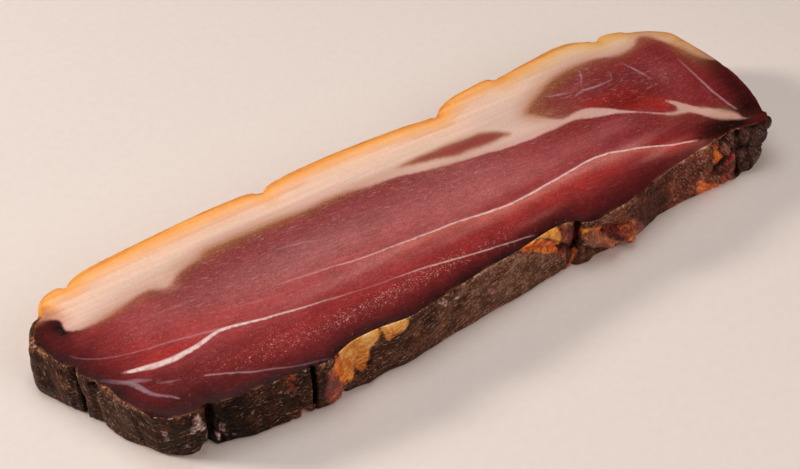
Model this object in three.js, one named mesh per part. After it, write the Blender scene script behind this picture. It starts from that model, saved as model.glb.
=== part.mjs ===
// One thick slice of smoked bacon, lying on its lower cut face with the upper cut face on show.
// Millimetres. +X runs along the slice, +Y points to the fat rim, +Z is up.
// The origin is under the middle of the slice, on the surface that it lies on.
//
// The slice is one solid. Its outline is drawn as four edges of the upper cut face: the crust
// along the front, the right end, the fat rim along the back and the left end. A grid of points
// fills the face between them, and rings of points go down the wall from the edges to the foot.

import * as THREE from 'three';

// Driving dimensions
const halfLength = 130; // of the cut face
const halfWidth = 37.5; // of the cut face
const thickness = 22; // from one cut face to the other
const middle = { x: -1.7, y: -0.95 }; // of the whole slice with its crust, on the drawing below

// How finely the solid is faceted
const stepsAlong = 130;
const stepsAcross = 16;
const wallHeights = [20.6, 18, 15, 11.5, 8, 4.5, 1.2, 0];

// Edges of the upper cut face. A point of a long edge is its place along the slice and how far
// it lies inside the widest line; a point of an end is its place across and how far it lies
// inside the longest line.
const frontEdge = [
  [-114.4, 11.5], [-108.5, 7.2], [-103, 5.8], [-98, 5.4], [-90, 3.6], [-82, 2.8], [-70, 1.1],
  [-60, -0.2], [-50, 2.1], [-40, 1.8], [-30, 0.2], [-20, 1], [0, 2.9], [14, 3.4], [30, 4.8],
  [35.5, 4.2], [39, 2.1], [43, 0.3], [50, 0.3], [60, 1], [70, 2.8], [80, 4.5], [90, 5.4],
  [100, 5.9], [110, 6.6], [120, 3.8], [124.2, 4],
];
const rightEnd = [
  [-33.5, 5.8], [-30.9, 4], [-29.5, 4.6], [-22.5, 1.9], [-8.4, 0], [2.8, 1.2], [14, 3.3],
  [19.6, 4.7], [25.3, 10],
];
const backEdge = [
  [-122.1, 4.5], [-120, 3.5], [-116, 3], [-113.6, 3.8], [-108, 1.6], [-100, 0.7], [-80, 0.2],
  [-60, 0.3], [-45, 1.5], [-42.6, 2.5], [-40, 3.1], [-37, 1.8], [-25, 0.8], [0, 2.1], [15, 3.5],
  [29.5, 5.3], [32, 3.7], [35.5, 1.9], [40, 0.8], [46, 0.4], [54, 0.3], [57, 1.9], [70, 1.3],
  [85, 0.6], [91.5, 1.7], [97, 4.5], [100, 5.8], [103, 5.1], [110, 7], [112, 8.7], [120, 12.2],
];
const leftEnd = [
  [-26, 15.6], [-17.4, 11.4], [-9.4, 9.5], [-1.9, 5.5], [3.5, 3.6], [12, 0], [19, -1.1],
  [22.2, 0], [25.4, 2.6], [26.4, 5], [28.7, 6], [31.3, 6.8], [33, 7.9],
];

// Cracks, folds and crags of the wall. Each runs along a line on its wall, given by the place
// along the wall and the height at both ends; reach is its half width, and depth how far it
// goes in. A negative depth stands out.
const frontRelief = [
  { from: [-98.6, 22], to: [-99.2, 0], reach: 2.4, depth: 3 }, // groove beside the left corner
  { from: [-103.5, 17], to: [-103, 8], reach: 3.5, depth: -0.8 }, // torn lobe left of the groove
  { from: [-101.4, 3], to: [-101, 0], reach: 2.6, depth: 1.8 },
  { from: [-94, 18], to: [-93, 4], reach: 2.4, depth: 0.9 },
  { from: [-65.5, 21], to: [-65.5, 3], reach: 1.9, depth: 3.4 }, // straight slit
  { from: [-69, 3], to: [-69, 0], reach: 2, depth: 1.8 }, // notch at the foot
  { from: [-55, 2.5], to: [-55, 0], reach: 2, depth: 1.6 }, // notch at the foot
  { from: [-53, 6], to: [-46, 3], reach: 3.5, depth: -0.9 }, // lobe under the fat patch
  { from: [-50, 17], to: [-50, 10], reach: 6, depth: 0.8 }, // fat patch, where bark came off
  { from: [17, 19.5], to: [33, 13], reach: 2.4, depth: 1.4 }, // step under the fat sliver
  { from: [38.9, 21], to: [38.3, 9], reach: 2.3, depth: 3.6 }, // open crack
  { from: [33, 13], to: [36, 9], reach: 2.4, depth: 1.5 },
  { from: [42, 14.5], to: [50, 7.5], reach: 3.4, depth: -1.7 }, // tongue of the fold
  { from: [50, 7.5], to: [60, 3.2], reach: 3.2, depth: -2.2 }, // its lower half, clear of the foot
  { from: [60, 5], to: [66, 4], reach: 4, depth: -1.3 }, // wrinkled tip of the fold
  { from: [49, 13], to: [58, 9.5], reach: 2.6, depth: 2.6 }, // hollow above the tongue
  { from: [91, 16], to: [97, 8], reach: 3, depth: -0.7 },
  { from: [101.5, 20], to: [100.5, 12], reach: 1.8, depth: 1.2 },
  { from: [100.5, 8], to: [108.8, 11.4], reach: 1.8, depth: 2.2 }, // crack between the dark blocks
  { from: [108.8, 11.4], to: [112.3, 19], reach: 1.8, depth: 1.8 },
  { from: [102.6, 16.6], to: [108, 20.6], reach: 1.7, depth: 1.7 },
  { from: [112, 13], to: [113.5, 1], reach: 1.8, depth: 1.2 },
  { from: [105.5, 14.6], to: [109.4, 16.6], reach: 2.8, depth: -1 }, // blocks between the cracks
  { from: [103, 4.5], to: [109, 6], reach: 4, depth: -0.8 },
  { from: [117, 17], to: [121, 17.5], reach: 3.6, depth: -1.1 },
  { from: [117, 7], to: [120.5, 7], reach: 4.6, depth: -1 },
  { from: [115, 21], to: [124, 20.4], reach: 1.4, depth: 1.4 }, // groove under the cut edge
];
const leftRelief = [
  { from: [2.8, 21], to: [0.3, 12], reach: 2.4, depth: 3.4 }, // deep crack
  { from: [0.3, 12], to: [1, 0], reach: 2.6, depth: 3.6 },
  { from: [-4, 19.8], to: [-6.5, 19.2], reach: 1.8, depth: 1.4 },
  { from: [18, 18.5], to: [15, 7], reach: 5.5, depth: -2 }, // ledge of crust below the edge
  { from: [25.4, 19.4], to: [24.4, 4], reach: 4.2, depth: -2.2 },
  { from: [8, 16], to: [6, 4], reach: 4, depth: -0.8 },
  { from: [-20, 16], to: [-21, 3], reach: 2.2, depth: 0.9 }, // shallow crack at the corner
];
const rightRelief = [
  { from: [-32.5, 18.4], to: [-32, 16.8], reach: 3.2, depth: -1.8 }, // crag at the front corner
  { from: [-24, 19], to: [-22, 2], reach: 2.2, depth: 1.4 },
  { from: [-4, 20], to: [-2, 3], reach: 3, depth: 0.9 },
  { from: [12, 17], to: [10, 5], reach: 4, depth: -0.7 },
];
const backRelief = [
  { from: [-41, 22], to: [-42, 4], reach: 3, depth: 1.2 }, // creases under the rim's notches
  { from: [29.5, 22], to: [28, 3], reach: 3, depth: 1.4 },
  { from: [100, 22], to: [101, 5], reach: 3, depth: 1 },
  { from: [-113.5, 22], to: [-113, 6], reach: 2.5, depth: 0.7 },
  { from: [57, 20], to: [56, 6], reach: 2.5, depth: 0.6 },
];

// Shape of the plain wall on each side: how far the middle stands out, how rough it is, and how
// far the foot stands out at places along the side
const sideSwell = {
  front: {
    waist: 0.5,
    crag: 0.55,
    foot: [
      [-116, -1.8], [-111, -1], [-106, -0.5], [-103, -0.8], [-95, -0.3], [-91, -0.2], [-86, 1],
      [-73, 1.1], [-66, 0.6], [-58, 0.8], [-54, 1], [-50, 2.2], [-44, 2.9], [-36, 1.7],
      [-28, 0.9], [-20, 1.1], [-11, 1.5], [-3, 2.2], [5, 1.9], [14, 2.4], [31, 2.9], [36, 2.2],
      [40, 0.6], [47, -1.6], [52, -1], [57, 0], [63, 1.2], [68, 1.4], [76, 0.3], [85, 1.4],
      [92, 2], [98, 2.8], [103, 4], [107, 5], [113, 4.8], [118, 2.4], [124, 0],
    ],
  },
  right: { waist: 0.3, crag: 0.6, foot: [[-34, -1], [-30, -1.4], [-20, -0.5], [0, 0.5], [25, 0.6]] },
  back: { waist: 1, crag: 0.15, foot: [[-120, -0.6], [120, -0.6]] },
  left: {
    waist: 0.5,
    crag: 0.5,
    foot: [
      [-27, -1.6], [-20, -1.2], [-15, 0.4], [-10, 1.6], [-3, 0.4], [0.5, 0.7], [4.7, 1.4],
      [11, 1.5], [16, 2.4], [21.7, 3.2], [27, 2],
    ],
  },
};
const footRounding = 0.7; // the foot draws in over the last height step

// The cut face falls away near its edges, and the muscle band along the front curves down
const edgeRoll = { front: 0.55, back: 0.7, end: 0.45 };
const bandRoll = { from: 38, to: 98, fade: 12, depth: 0.7 };
const rollReach = 5;

// Slow swells of the cut face, and rough bark on the wall: each wave's length along the slice
// and across it or up the wall, its shift, and how high it stands
const faceSwells = [
  { along: 145, across: 82, shift: 0.7, height: 0.14 },
  { along: 56, across: -44, shift: 0, height: 0.08 },
];
const barkWaves = [
  { along: 33, across: 48, shift: 0, height: 0.6 },
  { along: 24, across: -38, shift: 2.1, height: 0.4 },
  { along: 14.5, across: -23, shift: 1.3, height: 0.4 },
];
const barkStarts = 0.12; // of the thickness below the cut edge

const { clamp, lerp, smoothstep } = THREE.MathUtils;

function curveThrough(points) {
  const corners = points.map(([x, y]) => new THREE.Vector3(x, y, 0));
  return new THREE.CatmullRomCurve3(corners, false, 'centripetal');
}

function edgePoints() {
  const front = frontEdge.map(([x, inside]) => [x, inside - halfWidth]);
  const right = rightEnd.map(([y, inside]) => [halfLength - inside, y]);
  const back = backEdge.map(([x, inside]) => [x, halfWidth - inside]);
  const left = leftEnd.map(([y, inside]) => [inside - halfLength, y]);
  return {
    front: curveThrough(front).getSpacedPoints(stepsAlong),
    right: curveThrough(right).getSpacedPoints(stepsAcross),
    back: curveThrough(back).getSpacedPoints(stepsAlong),
    left: curveThrough(left).getSpacedPoints(stepsAcross),
  };
}

// A point inside the face, blended from the four edges
function facePoint(edges, column, row) {
  const u = column / stepsAlong;
  const v = row / stepsAcross;
  const blend = (axis) => {
    const front = edges.front[column][axis];
    const back = edges.back[column][axis];
    const left = edges.left[row][axis];
    const right = edges.right[row][axis];
    const nearCorners = lerp(edges.front[0][axis], edges.front[stepsAlong][axis], u);
    const farCorners = lerp(edges.back[0][axis], edges.back[stepsAlong][axis], u);
    return lerp(front, back, v) + lerp(left, right, u) - lerp(nearCorners, farCorners, v);
  };
  return [blend('x'), blend('y')];
}

function fallOff(distance) {
  return (1 - clamp(distance / rollReach, 0, 1)) ** 2;
}

function sumOfWaves(waves, place, side) {
  const turn = 2 * Math.PI;
  return waves.reduce((sum, { along, across, shift, height }) => (
    sum + height * Math.sin(turn * (place / along + side / across) + shift)), 0);
}

// Height of the cut face: nearly flat, with slow swells, and lower near the edges
function faceHeight(x, y, distance) {
  const { from, to, fade, depth } = bandRoll;
  const inBand = smoothstep(x, from, from + fade) * (1 - smoothstep(x, to - fade, to));
  const frontRoll = (edgeRoll.front + depth * inBand) * fallOff(distance.front);
  const otherRoll = edgeRoll.back * fallOff(distance.back) + edgeRoll.end * fallOff(distance.end);
  return thickness + sumOfWaves(faceSwells, x, y) - frontRoll - otherRoll;
}

function distanceToLine(place, height, { from, to }) {
  const run = to[0] - from[0];
  const rise = to[1] - from[1];
  const along = ((place - from[0]) * run + (height - from[1]) * rise) / (run * run + rise * rise);
  const t = clamp(along, 0, 1);
  return Math.hypot(place - from[0] - t * run, height - from[1] - t * rise);
}

// The value of a table of places and values between two of its places
function between(table, place) {
  const next = table.findIndex(([at]) => at > place);
  if (next === -1) return table[table.length - 1][1];
  if (next === 0) return table[0][1];
  const [[from, low], [to, high]] = [table[next - 1], table[next]];
  return lerp(low, high, (place - from) / (to - from));
}

function relief(features, place, height) {
  let standsOut = 0;
  for (const feature of features) {
    const near = 1 - clamp(distanceToLine(place, height, feature) / feature.reach, 0, 1);
    standsOut -= feature.depth * near * near * (3 - 2 * near);
  }
  return standsOut;
}

// How far the wall stands out from the cut edge at a height, for an edge point and its normal
function standOff(point, normal, height) {
  const low = 1 - height / thickness;
  const sides = [
    { weight: Math.max(0, -normal.y) ** 2, swell: sideSwell.front, features: frontRelief, place: point.x },
    { weight: Math.max(0, normal.x) ** 2, swell: sideSwell.right, features: rightRelief, place: point.y },
    { weight: Math.max(0, normal.y) ** 2, swell: sideSwell.back, features: backRelief, place: point.x },
    { weight: Math.max(0, -normal.x) ** 2, swell: sideSwell.left, features: leftRelief, place: point.y },
  ];
  const belowEdge = smoothstep(low, 0, barkStarts);
  let offset = 0;
  for (const { weight, swell, features, place } of sides) {
    const plain = between(swell.foot, place) * low + swell.waist * 4 * low * (1 - low);
    const rough = swell.crag * sumOfWaves(barkWaves, place, height) * belowEdge * (1 - low ** 3);
    offset += weight * (plain + rough + relief(features, place, height));
  }
  return offset;
}

function buildSlice() {
  const edges = edgePoints();
  const positions = [];
  const triangles = [];
  const rowLength = stepsAcross + 1;
  const faceIndex = (column, row) => column * rowLength + row;

  for (let column = 0; column <= stepsAlong; column += 1) {
    for (let row = 0; row <= stepsAcross; row += 1) {
      const [x, y] = facePoint(edges, column, row);
      const distance = {
        front: y - edges.front[column].y,
        back: edges.back[column].y - y,
        end: Math.min(x - edges.left[row].x, edges.right[row].x - x),
      };
      positions.push(x - middle.x, y - middle.y, faceHeight(x, y, distance));
    }
  }
  for (let column = 0; column < stepsAlong; column += 1) {
    for (let row = 0; row < stepsAcross; row += 1) {
      const a = faceIndex(column, row);
      const b = faceIndex(column + 1, row);
      const c = faceIndex(column + 1, row + 1);
      const d = faceIndex(column, row + 1);
      triangles.push(a, b, c, a, c, d);
    }
  }

  // The rim of the face, once around, anticlockwise from above
  const rim = [];
  for (let column = 0; column < stepsAlong; column += 1) rim.push(faceIndex(column, 0));
  for (let row = 0; row < stepsAcross; row += 1) rim.push(faceIndex(stepsAlong, row));
  for (let column = stepsAlong; column > 0; column -= 1) rim.push(faceIndex(column, stepsAcross));
  for (let row = stepsAcross; row > 0; row -= 1) rim.push(faceIndex(0, row));

  const rimPoints = rim.map((index) => {
    const x = positions[3 * index] + middle.x;
    const y = positions[3 * index + 1] + middle.y;
    return new THREE.Vector2(x, y);
  });
  const normals = rimPoints.map((_, i) => {
    const before = rimPoints[(i + rim.length - 2) % rim.length];
    const after = rimPoints[(i + 2) % rim.length];
    const along = after.clone().sub(before).normalize();
    return new THREE.Vector2(along.y, -along.x);
  });

  // Rings down the wall
  let upperRing = rim;
  const foot = wallHeights.length - 1;
  wallHeights.forEach((height, level) => {
    const ring = rim.map((_, i) => {
      const offset = standOff(rimPoints[i], normals[i], height) - (level === foot ? footRounding : 0);
      const point = rimPoints[i].clone().addScaledVector(normals[i], offset);
      positions.push(point.x - middle.x, point.y - middle.y, height);
      return positions.length / 3 - 1;
    });
    rim.forEach((_, i) => {
      const next = (i + 1) % rim.length;
      triangles.push(upperRing[i], ring[i], ring[next], upperRing[i], ring[next], upperRing[next]);
    });
    upperRing = ring;
  });

  // The lower cut face, flat on the surface that the slice lies on
  const footOutline = upperRing.map((i) => new THREE.Vector2(positions[3 * i], positions[3 * i + 1]));
  for (const [a, b, c] of THREE.ShapeUtils.triangulateShape(footOutline, [])) {
    triangles.push(upperRing[c], upperRing[b], upperRing[a]);
  }

  const geometry = new THREE.BufferGeometry();
  geometry.setAttribute('position', new THREE.Float32BufferAttribute(positions, 3));
  geometry.setIndex(triangles);
  geometry.computeVertexNormals();
  return geometry;
}

const curedMeat = new THREE.MeshStandardMaterial({ color: 0x8c3a3f, roughness: 0.55, metalness: 0 });
const slice = new THREE.Mesh(buildSlice(), curedMeat);
slice.name = 'bacon_slice';

const bacon = new THREE.Group();
bacon.add(slice);

export default bacon;
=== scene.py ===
"""A thick slice of smoked bacon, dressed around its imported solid.

The slice lies on its lower cut face. Its outline is drawn in millimetres on the upper cut face,
as in the part's source, and a fine mesh is grown from it: the two cut faces, and a wall of dark
bark, fat rim, cracks and folds. The muscles, fat and seams are lines of the same drawing, and
their distances are kept on the mesh for the materials to colour by.
"""

import math

import bpy
import numpy as np
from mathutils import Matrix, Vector, noise


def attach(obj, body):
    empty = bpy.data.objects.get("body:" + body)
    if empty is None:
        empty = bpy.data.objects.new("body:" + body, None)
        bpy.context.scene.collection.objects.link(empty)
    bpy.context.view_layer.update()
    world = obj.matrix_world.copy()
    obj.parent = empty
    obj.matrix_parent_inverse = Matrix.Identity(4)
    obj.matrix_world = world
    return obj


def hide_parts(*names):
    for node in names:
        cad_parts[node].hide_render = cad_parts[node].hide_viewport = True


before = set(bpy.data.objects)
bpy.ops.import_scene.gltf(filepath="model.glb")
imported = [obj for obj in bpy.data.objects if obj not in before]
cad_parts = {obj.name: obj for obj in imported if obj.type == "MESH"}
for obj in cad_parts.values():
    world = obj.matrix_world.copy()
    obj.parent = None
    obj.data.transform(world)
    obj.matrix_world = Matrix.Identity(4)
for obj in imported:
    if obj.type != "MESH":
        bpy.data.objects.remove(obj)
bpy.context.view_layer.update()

MM = 0.001

# Driving dimensions, in millimetres, and the point of the drawing that lies over the origin
HALF_LENGTH = 130.0
HALF_WIDTH = 37.5
THICKNESS = 22.0
MIDDLE = np.array([-1.7, -0.95])

# Camera and its lens in millimetres, floor in metres, and the sky's strength and tint
CAMERA_PLACE = (-206.8, -295.95, 409.9)
CAMERA_LOOKS = (0.3742, 0.5547, -0.7431)
FOCAL_LENGTH = 72.0
FRAME_WIDTH = 36.0
FLOOR_REACH = 1.6
FLOOR_GAP = 0.00005
SKY_STRENGTH = 0.04
SKY_TINT = "f4f8ff"

# The square sheet that the surface is laid out on: its side, the gap between pieces, the strips
# that the wall is cut into, and the margin round each cut face
SHEET_SIZE = 276.0
SHEET_GAP = 3.0
WALL_STRIPS = 3
FACE_MARGIN = (7.0, 4.0)

# How finely the mesh is cut, in steps or millimetres, how many points of the rim its direction is
# taken over, how finely curves are drawn, and the rings of the wall that lie close to the rim and
# to the foot
STEPS_ALONG = 260
STEPS_ACROSS = 76
RIM_SPLIT = 2
UNDERSIDE_STEP = 2
WALL_STEP = 0.65
NORMAL_REACH = 8
CURVE_STEPS = 24
OUTLINE_STEPS = 4
SEAM_STEPS = 6
MAIN_SEAM_STEPS = 80
MAIN_TOP_STEPS = 160
RIM_RINGS = (0.12, 0.3, 0.55, 0.9, 1.4, 2.0)
FOOT_RINGS = (0.9, 0.5, 0.2, 0.0)

# Edges of the upper cut face: place along the edge, and how far inside the widest line
FRONT_EDGE = [
    (-114.4, 11.5), (-108.5, 7.2), (-103, 5.8), (-98, 5.4), (-90, 3.6), (-82, 2.8), (-70, 1.1),
    (-60, -0.2), (-50, 2.1), (-40, 1.8), (-30, 0.2), (-20, 1), (0, 2.9), (14, 3.4), (30, 4.8),
    (35.5, 4.2), (39, 2.1), (43, 0.3), (50, 0.3), (60, 1), (70, 2.8), (80, 4.5), (90, 5.4),
    (100, 5.9), (110, 6.6), (120, 3.8), (124.2, 4),
]
RIGHT_END = [
    (-33.5, 5.8), (-30.9, 4), (-29.5, 4.6), (-22.5, 1.9), (-8.4, 0), (2.8, 1.2), (14, 3.3),
    (19.6, 4.7), (25.3, 10),
]
BACK_EDGE = [
    (-122.1, 4.5), (-120, 3.5), (-116, 3), (-113.6, 3.8), (-108, 1.6), (-100, 0.7), (-80, 0.2),
    (-60, 0.3), (-45, 1.5), (-42.6, 2.5), (-40, 3.1), (-37, 1.8), (-25, 0.8), (0, 2.1), (15, 3.5),
    (29.5, 5.3), (32, 3.7), (35.5, 1.9), (40, 0.8), (46, 0.4), (54, 0.3), (57, 1.9), (70, 1.3),
    (85, 0.6), (91.5, 1.7), (97, 4.5), (100, 5.8), (103, 5.1), (110, 7), (112, 8.7), (120, 12.2),
]
LEFT_END = [
    (-26, 15.6), (-17.4, 11.4), (-9.4, 9.5), (-1.9, 5.5), (3.5, 3.6), (12, 0), (19, -1.1),
    (22.2, 0), (25.4, 2.6), (26.4, 5), (28.7, 6), (31.3, 6.8), (33, 7.9),
]

# Cracks, folds and crags of each wall: start and end as (place, height), half width, and
# depth, which is negative where it stands out
FRONT_RELIEF = [
    ((-98.6, 22), (-99.2, 0), 1.9, 2.2),
    ((-96.4, 14), (-95.6, 2), 1.0, 1.2),
    ((-103.5, 17), (-103, 8), 3.2, -0.9),
    ((-101.4, 3), (-101, 0), 2.4, 2.0),
    ((-94, 18), (-93, 4), 2.4, 0.9),
    ((-73.5, 22), (-72, 17), 1.2, 1.2),
    ((-65.3, 21.5), (-65.5, 3), 1.15, 4.2),
    ((-71.5, 12), (-69, 0), 0.9, 0.8),
    ((-69, 3), (-68.6, 0), 2.0, 2.0),
    ((-55, 2.5), (-55, 0), 1.6, 2.0),
    ((-53, 6), (-46, 3), 3.5, -1.1),
    ((-50, 17), (-50, 10), 6.0, 0.8),
    ((-53, 9.5), (-46, 9), 1.4, 0.7),
    ((15, 21), (33, 12.5), 1.6, 1.5),
    ((38.9, 21.6), (38.2, 9), 1.4, 5.0),
    ((33, 13), (37, 9.5), 2.2, 1.8),
    ((42, 14.5), (50, 7.5), 3.2, -1.8),
    ((50, 7.5), (60, 3.2), 3.0, -2.4),
    ((60, 5), (66, 4), 4.0, -1.3),
    ((49, 13), (58, 9.5), 2.4, 3.2),
    ((41, 9.5), (48, 3.4), 1.2, 0.9),
    ((91, 16), (97, 8), 3.0, -0.7),
    ((101.5, 20), (100.5, 12), 1.2, 1.4),
    ((100.5, 8), (108.8, 11.4), 1.2, 3.0),
    ((108.8, 11.4), (112.3, 19), 1.1, 2.6),
    ((102.6, 16.6), (108, 20.6), 1.1, 2.4),
    ((112, 13), (113.5, 1), 1.0, 1.6),
    ((105.5, 14.6), (109.4, 16.6), 2.6, -1.1),
    ((103, 4.5), (109, 6), 4.0, -0.8),
    ((117, 17), (121, 17.5), 3.6, -1.1),
    ((117, 7), (120.5, 7), 4.6, -1.0),
    ((115, 21), (124, 20.4), 1.0, 2.2),
    ((114.6, 12), (124, 10.4), 0.9, 1.4),
]
LEFT_RELIEF = [
    ((2.8, 21.4), (0.3, 12), 1.6, 4.6),
    ((0.3, 12), (1, 0), 1.8, 5.0),
    ((-4, 20), (-6.5, 19.4), 1.2, 2.4),
    ((18, 18.5), (15, 7), 5.5, -2.0),
    ((25.4, 19.4), (24.4, 4), 4.2, -2.2),
    ((8, 16), (6, 4), 4.0, -0.8),
    ((-20, 16), (-21, 3), 1.0, 1.0),
]
RIGHT_RELIEF = [
    ((-32.5, 18.4), (-32, 16.8), 3.2, -1.8),
    ((-33, 20.8), (-29, 20.4), 1.0, 2.2),
    ((-24, 19), (-22, 2), 1.5, 1.8),
    ((-4, 20), (-2, 3), 2.4, 1.0),
    ((12, 17), (10, 5), 4.0, -0.7),
]
BACK_RELIEF = [
    ((-41, 22), (-42, 4), 2.6, 1.3),
    ((29.5, 22), (28, 3), 2.6, 1.5),
    ((100, 22), (101, 5), 2.6, 1.1),
    ((-113.5, 22), (-113, 6), 2.2, 0.8),
    ((57, 20), (56, 6), 2.2, 0.7),
]

# The plain wall of each side: how far its waist stands out and how rough it is, and how far the
# foot stands out at places along it
SIDE_SWELL = {"front": (0.5, 0.55), "right": (0.3, 0.6), "back": (1.0, 0.15), "left": (0.5, 0.5)}
FOOT_LINE = {
    "front": [
        (-116, -1.8), (-111, -1), (-106, -0.5), (-103, -0.8), (-95, -0.3), (-91, -0.2), (-86, 1),
        (-73, 1.1), (-66, 0.6), (-58, 0.8), (-54, 1), (-50, 2.2), (-44, 2.9), (-36, 1.7),
        (-28, 0.9), (-20, 1.1), (-11, 1.5), (-3, 2.2), (5, 1.9), (14, 2.4), (31, 2.9), (36, 2.2),
        (40, 0.6), (47, -1.6), (52, -1), (57, 0), (63, 1.2), (68, 1.4), (76, 0.3), (85, 1.4),
        (92, 2), (98, 2.8), (103, 4), (107, 5), (113, 4.8), (118, 2.4), (124, 0),
    ],
    "right": [(-34, -1), (-30, -1.4), (-20, -0.5), (0, 0.5), (25, 0.6)],
    "back": [(-120, -0.6), (120, -0.6)],
    "left": [
        (-27, -1.6), (-20, -1.2), (-15, 0.4), (-10, 1.6), (-3, 0.4), (0.5, 0.7), (4.7, 1.4),
        (11, 1.5), (16, 2.4), (21.7, 3.2), (27, 2),
    ],
}

# How far the foot is drawn in and over what height, the share of the wall below the rim over
# which the bark sets in, and the roundness of the cut edge at the bark and at the fat
FOOT_ROUNDING = 0.7
FOOT_ROUNDING_HEIGHT = 1.2
BARK_STARTS = 0.12
BARK_EDGE_RADIUS = 0.45
FAT_EDGE_RADIUS = 1.0

# Fine crags: how long they are along the wall and up it, how much finer octaves weigh, how much
# finer each is and how many there are, and how high the crags are at places along the slice
BARK_GRAIN = (7.0, 2.6)
CRAG_OCTAVES = (0.9, 2.1, 4)
BARK_STRENGTH = [
    (-125, 0.28), (-60, 0.26), (-30, 0.22), (30, 0.22), (45, 0.4), (75, 0.3), (96, 0.3),
    (104, 0.2), (128, 0.2),
]
RIND_STRENGTH = 0.08

# Blocks of the right end: where they set in along the slice and end across it, how wide they are
# and how they slant, how deep and how wide the clefts between them are, the share below which a
# cleft is left out, and where the bark turns black, measured from the middle of the slice
BLOCKS_START = (98.0, 103.0)
BLOCKS_END = (-12.0, 10.0)
BLOCK_SIZE = 7.5
BLOCK_SLANT = 0.3
CLEFT_DEPTH = 1.8
CLEFT_WIDTH = 0.09
LEAST_CLEFT = 0.02
BLACKENED = (102.0, 113.0)

# How far the cut face falls away at each edge, the stretch of the front edge where it falls
# further, as start, stop, fade and depth, and how far in the fall reaches
EDGE_ROLL = {"front": 0.55, "back": 0.7, "end": 0.45}
BAND_ROLL = (38.0, 98.0, 12.0, 0.7)
ROLL_REACH = 5.0

# Waves of the cut face and of the bark: length along, length across or up, shift, height
FACE_SWELLS = [(145, 82, 0.7, 0.14), (56, -44, 0, 0.08)]
BARK_WAVES = [(33, 48, 0, 0.6), (24, -38, 2.1, 0.4), (14.5, -23, 1.3, 0.4)]

# Where a crack opens at the cut edge: place, half width, depth
FRONT_NOTCHES = [
    (-98.8, 1.8, 0.7), (-73.4, 1.0, 0.5), (-65.3, 0.8, 0.6), (38.6, 1.2, 1.0),
    (101.6, 1.2, 0.8),
]
LEFT_NOTCHES = [(3, 1.6, 0.9), (-4.6, 1.6, 1.0)]

# Drawing of the muscles on the cut face, in millimetres. The main muscle's upper edge runs from
# the hook at the left end to the tip of the fat seam at the right.
MAIN_TOP = [
    (-128.5, 26.5), (-126, 25.6), (-121.2, 22.6), (-120.7, 20.4), (-121.6, 18.5), (-120.5, 16.6),
    (-118, 15.3), (-114, 14.8), (-106, 15.9), (-97, 17.7), (-91.5, 17.6), (-88.5, 15.8), (-86.3, 15.2),
    (-84.2, 16.4), (-81, 18.6), (-73, 20.9), (-69, 22.4), (-60, 22.2), (-45, 21), (-35, 19.7),
    (-20, 18.8), (-10, 16.7), (0, 15), (10, 12), (20, 9.5), (30, 7.3), (40, 5.3), (50, 3.9),
    (60, 3.5), (66, 3.3), (74, 0.4), (83, -3.2), (90, -7.4), (97, -13.7), (103, -16.1),
    (107.7, -22.4), (111.5, -25.9), (115.5, -28.4), (118.5, -29.6), (124, -31), (132, -32.3),
]
SECOND_MUSCLE = [
    (54.7, 15.4), (59.3, 9.8), (64.2, 6), (70, 6.1), (74, 5.6), (80, 1.8), (86, -3.5), (93.7, -10),
    (97.9, -12.8), (100.8, -13.4), (101.4, -11), (100, -6.7), (103.2, -9.8), (107.7, -16.1),
    (112.6, -20.7), (116.5, -26), (117.2, -29.4), (128, -31.5), (136, -20), (132, -4), (126, 3),
    (123.4, 11), (119.8, 18), (116.8, 23.2), (113.4, 24.4), (110, 21.9), (105.6, 21),
    (100.7, 21.2), (93.7, 23.9), (85, 25.6), (74, 24.9), (65.6, 21.8), (57.2, 17.5),
]
LENS = [
    (2.5, 18.5), (9.2, 19), (21.7, 18.4), (30, 17.6), (38.3, 15.8), (42.5, 13.4), (45.4, 10),
    (42, 9.6), (35, 9.9), (25.8, 10.9), (19, 12.8), (13.3, 14.7), (7.5, 16.8),
]

# Seams of white fat and gristle. Each has its line, its half width and how clearly it shows, both
# at even steps along it. Seams of one sheet lie well apart from each other.
MAIN_SEAM = [
    (-60, -2.8), (-50, -4.6), (-39, -6.6), (-28, -8.9), (-17, -10.4), (-5, -12.1), (5, -13.2),
    (15, -15), (25, -16.5), (40, -16.3), (50, -15.8), (60, -15.4), (66.7, -16.2), (71.7, -18.2),
    (76, -19.5), (81.7, -22.4), (87.5, -25.3), (93.3, -27.4), (97, -28.6),
]
LEFT_VEIN = [
    (-114.8, -7.2), (-110, -8.8), (-104, -10.4), (-98.7, -11.1), (-92, -10.9), (-87, -10.1),
    (-82.5, -9.2), (-78.7, -9.8), (-73.7, -11.3), (-65.3, -13.6), (-57, -15.5), (-45, -18.1),
    (-30, -21.1), (-15, -23.4), (-5, -25.8), (10, -29.2), (24, -32),
]
HAIRLINE = [
    (-125, 7.8), (-121.4, 4), (-113.8, -0.3), (-107, -2.5), (-94.5, -5.2), (-86.5, -7.3), (-81, -8.8),
]
LOWER_VEIN = [(-94.5, -21.7), (-88, -25.2), (-82, -28.7), (-76, -31.3), (-70, -34), (-59, -37.4)]
FORK = [
    (-122.4, -4.6), (-116, -10.7), (-113.8, -13.1), (-110.6, -19), (-106.3, -23.3), (-104.5, -25.4),
]
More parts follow.
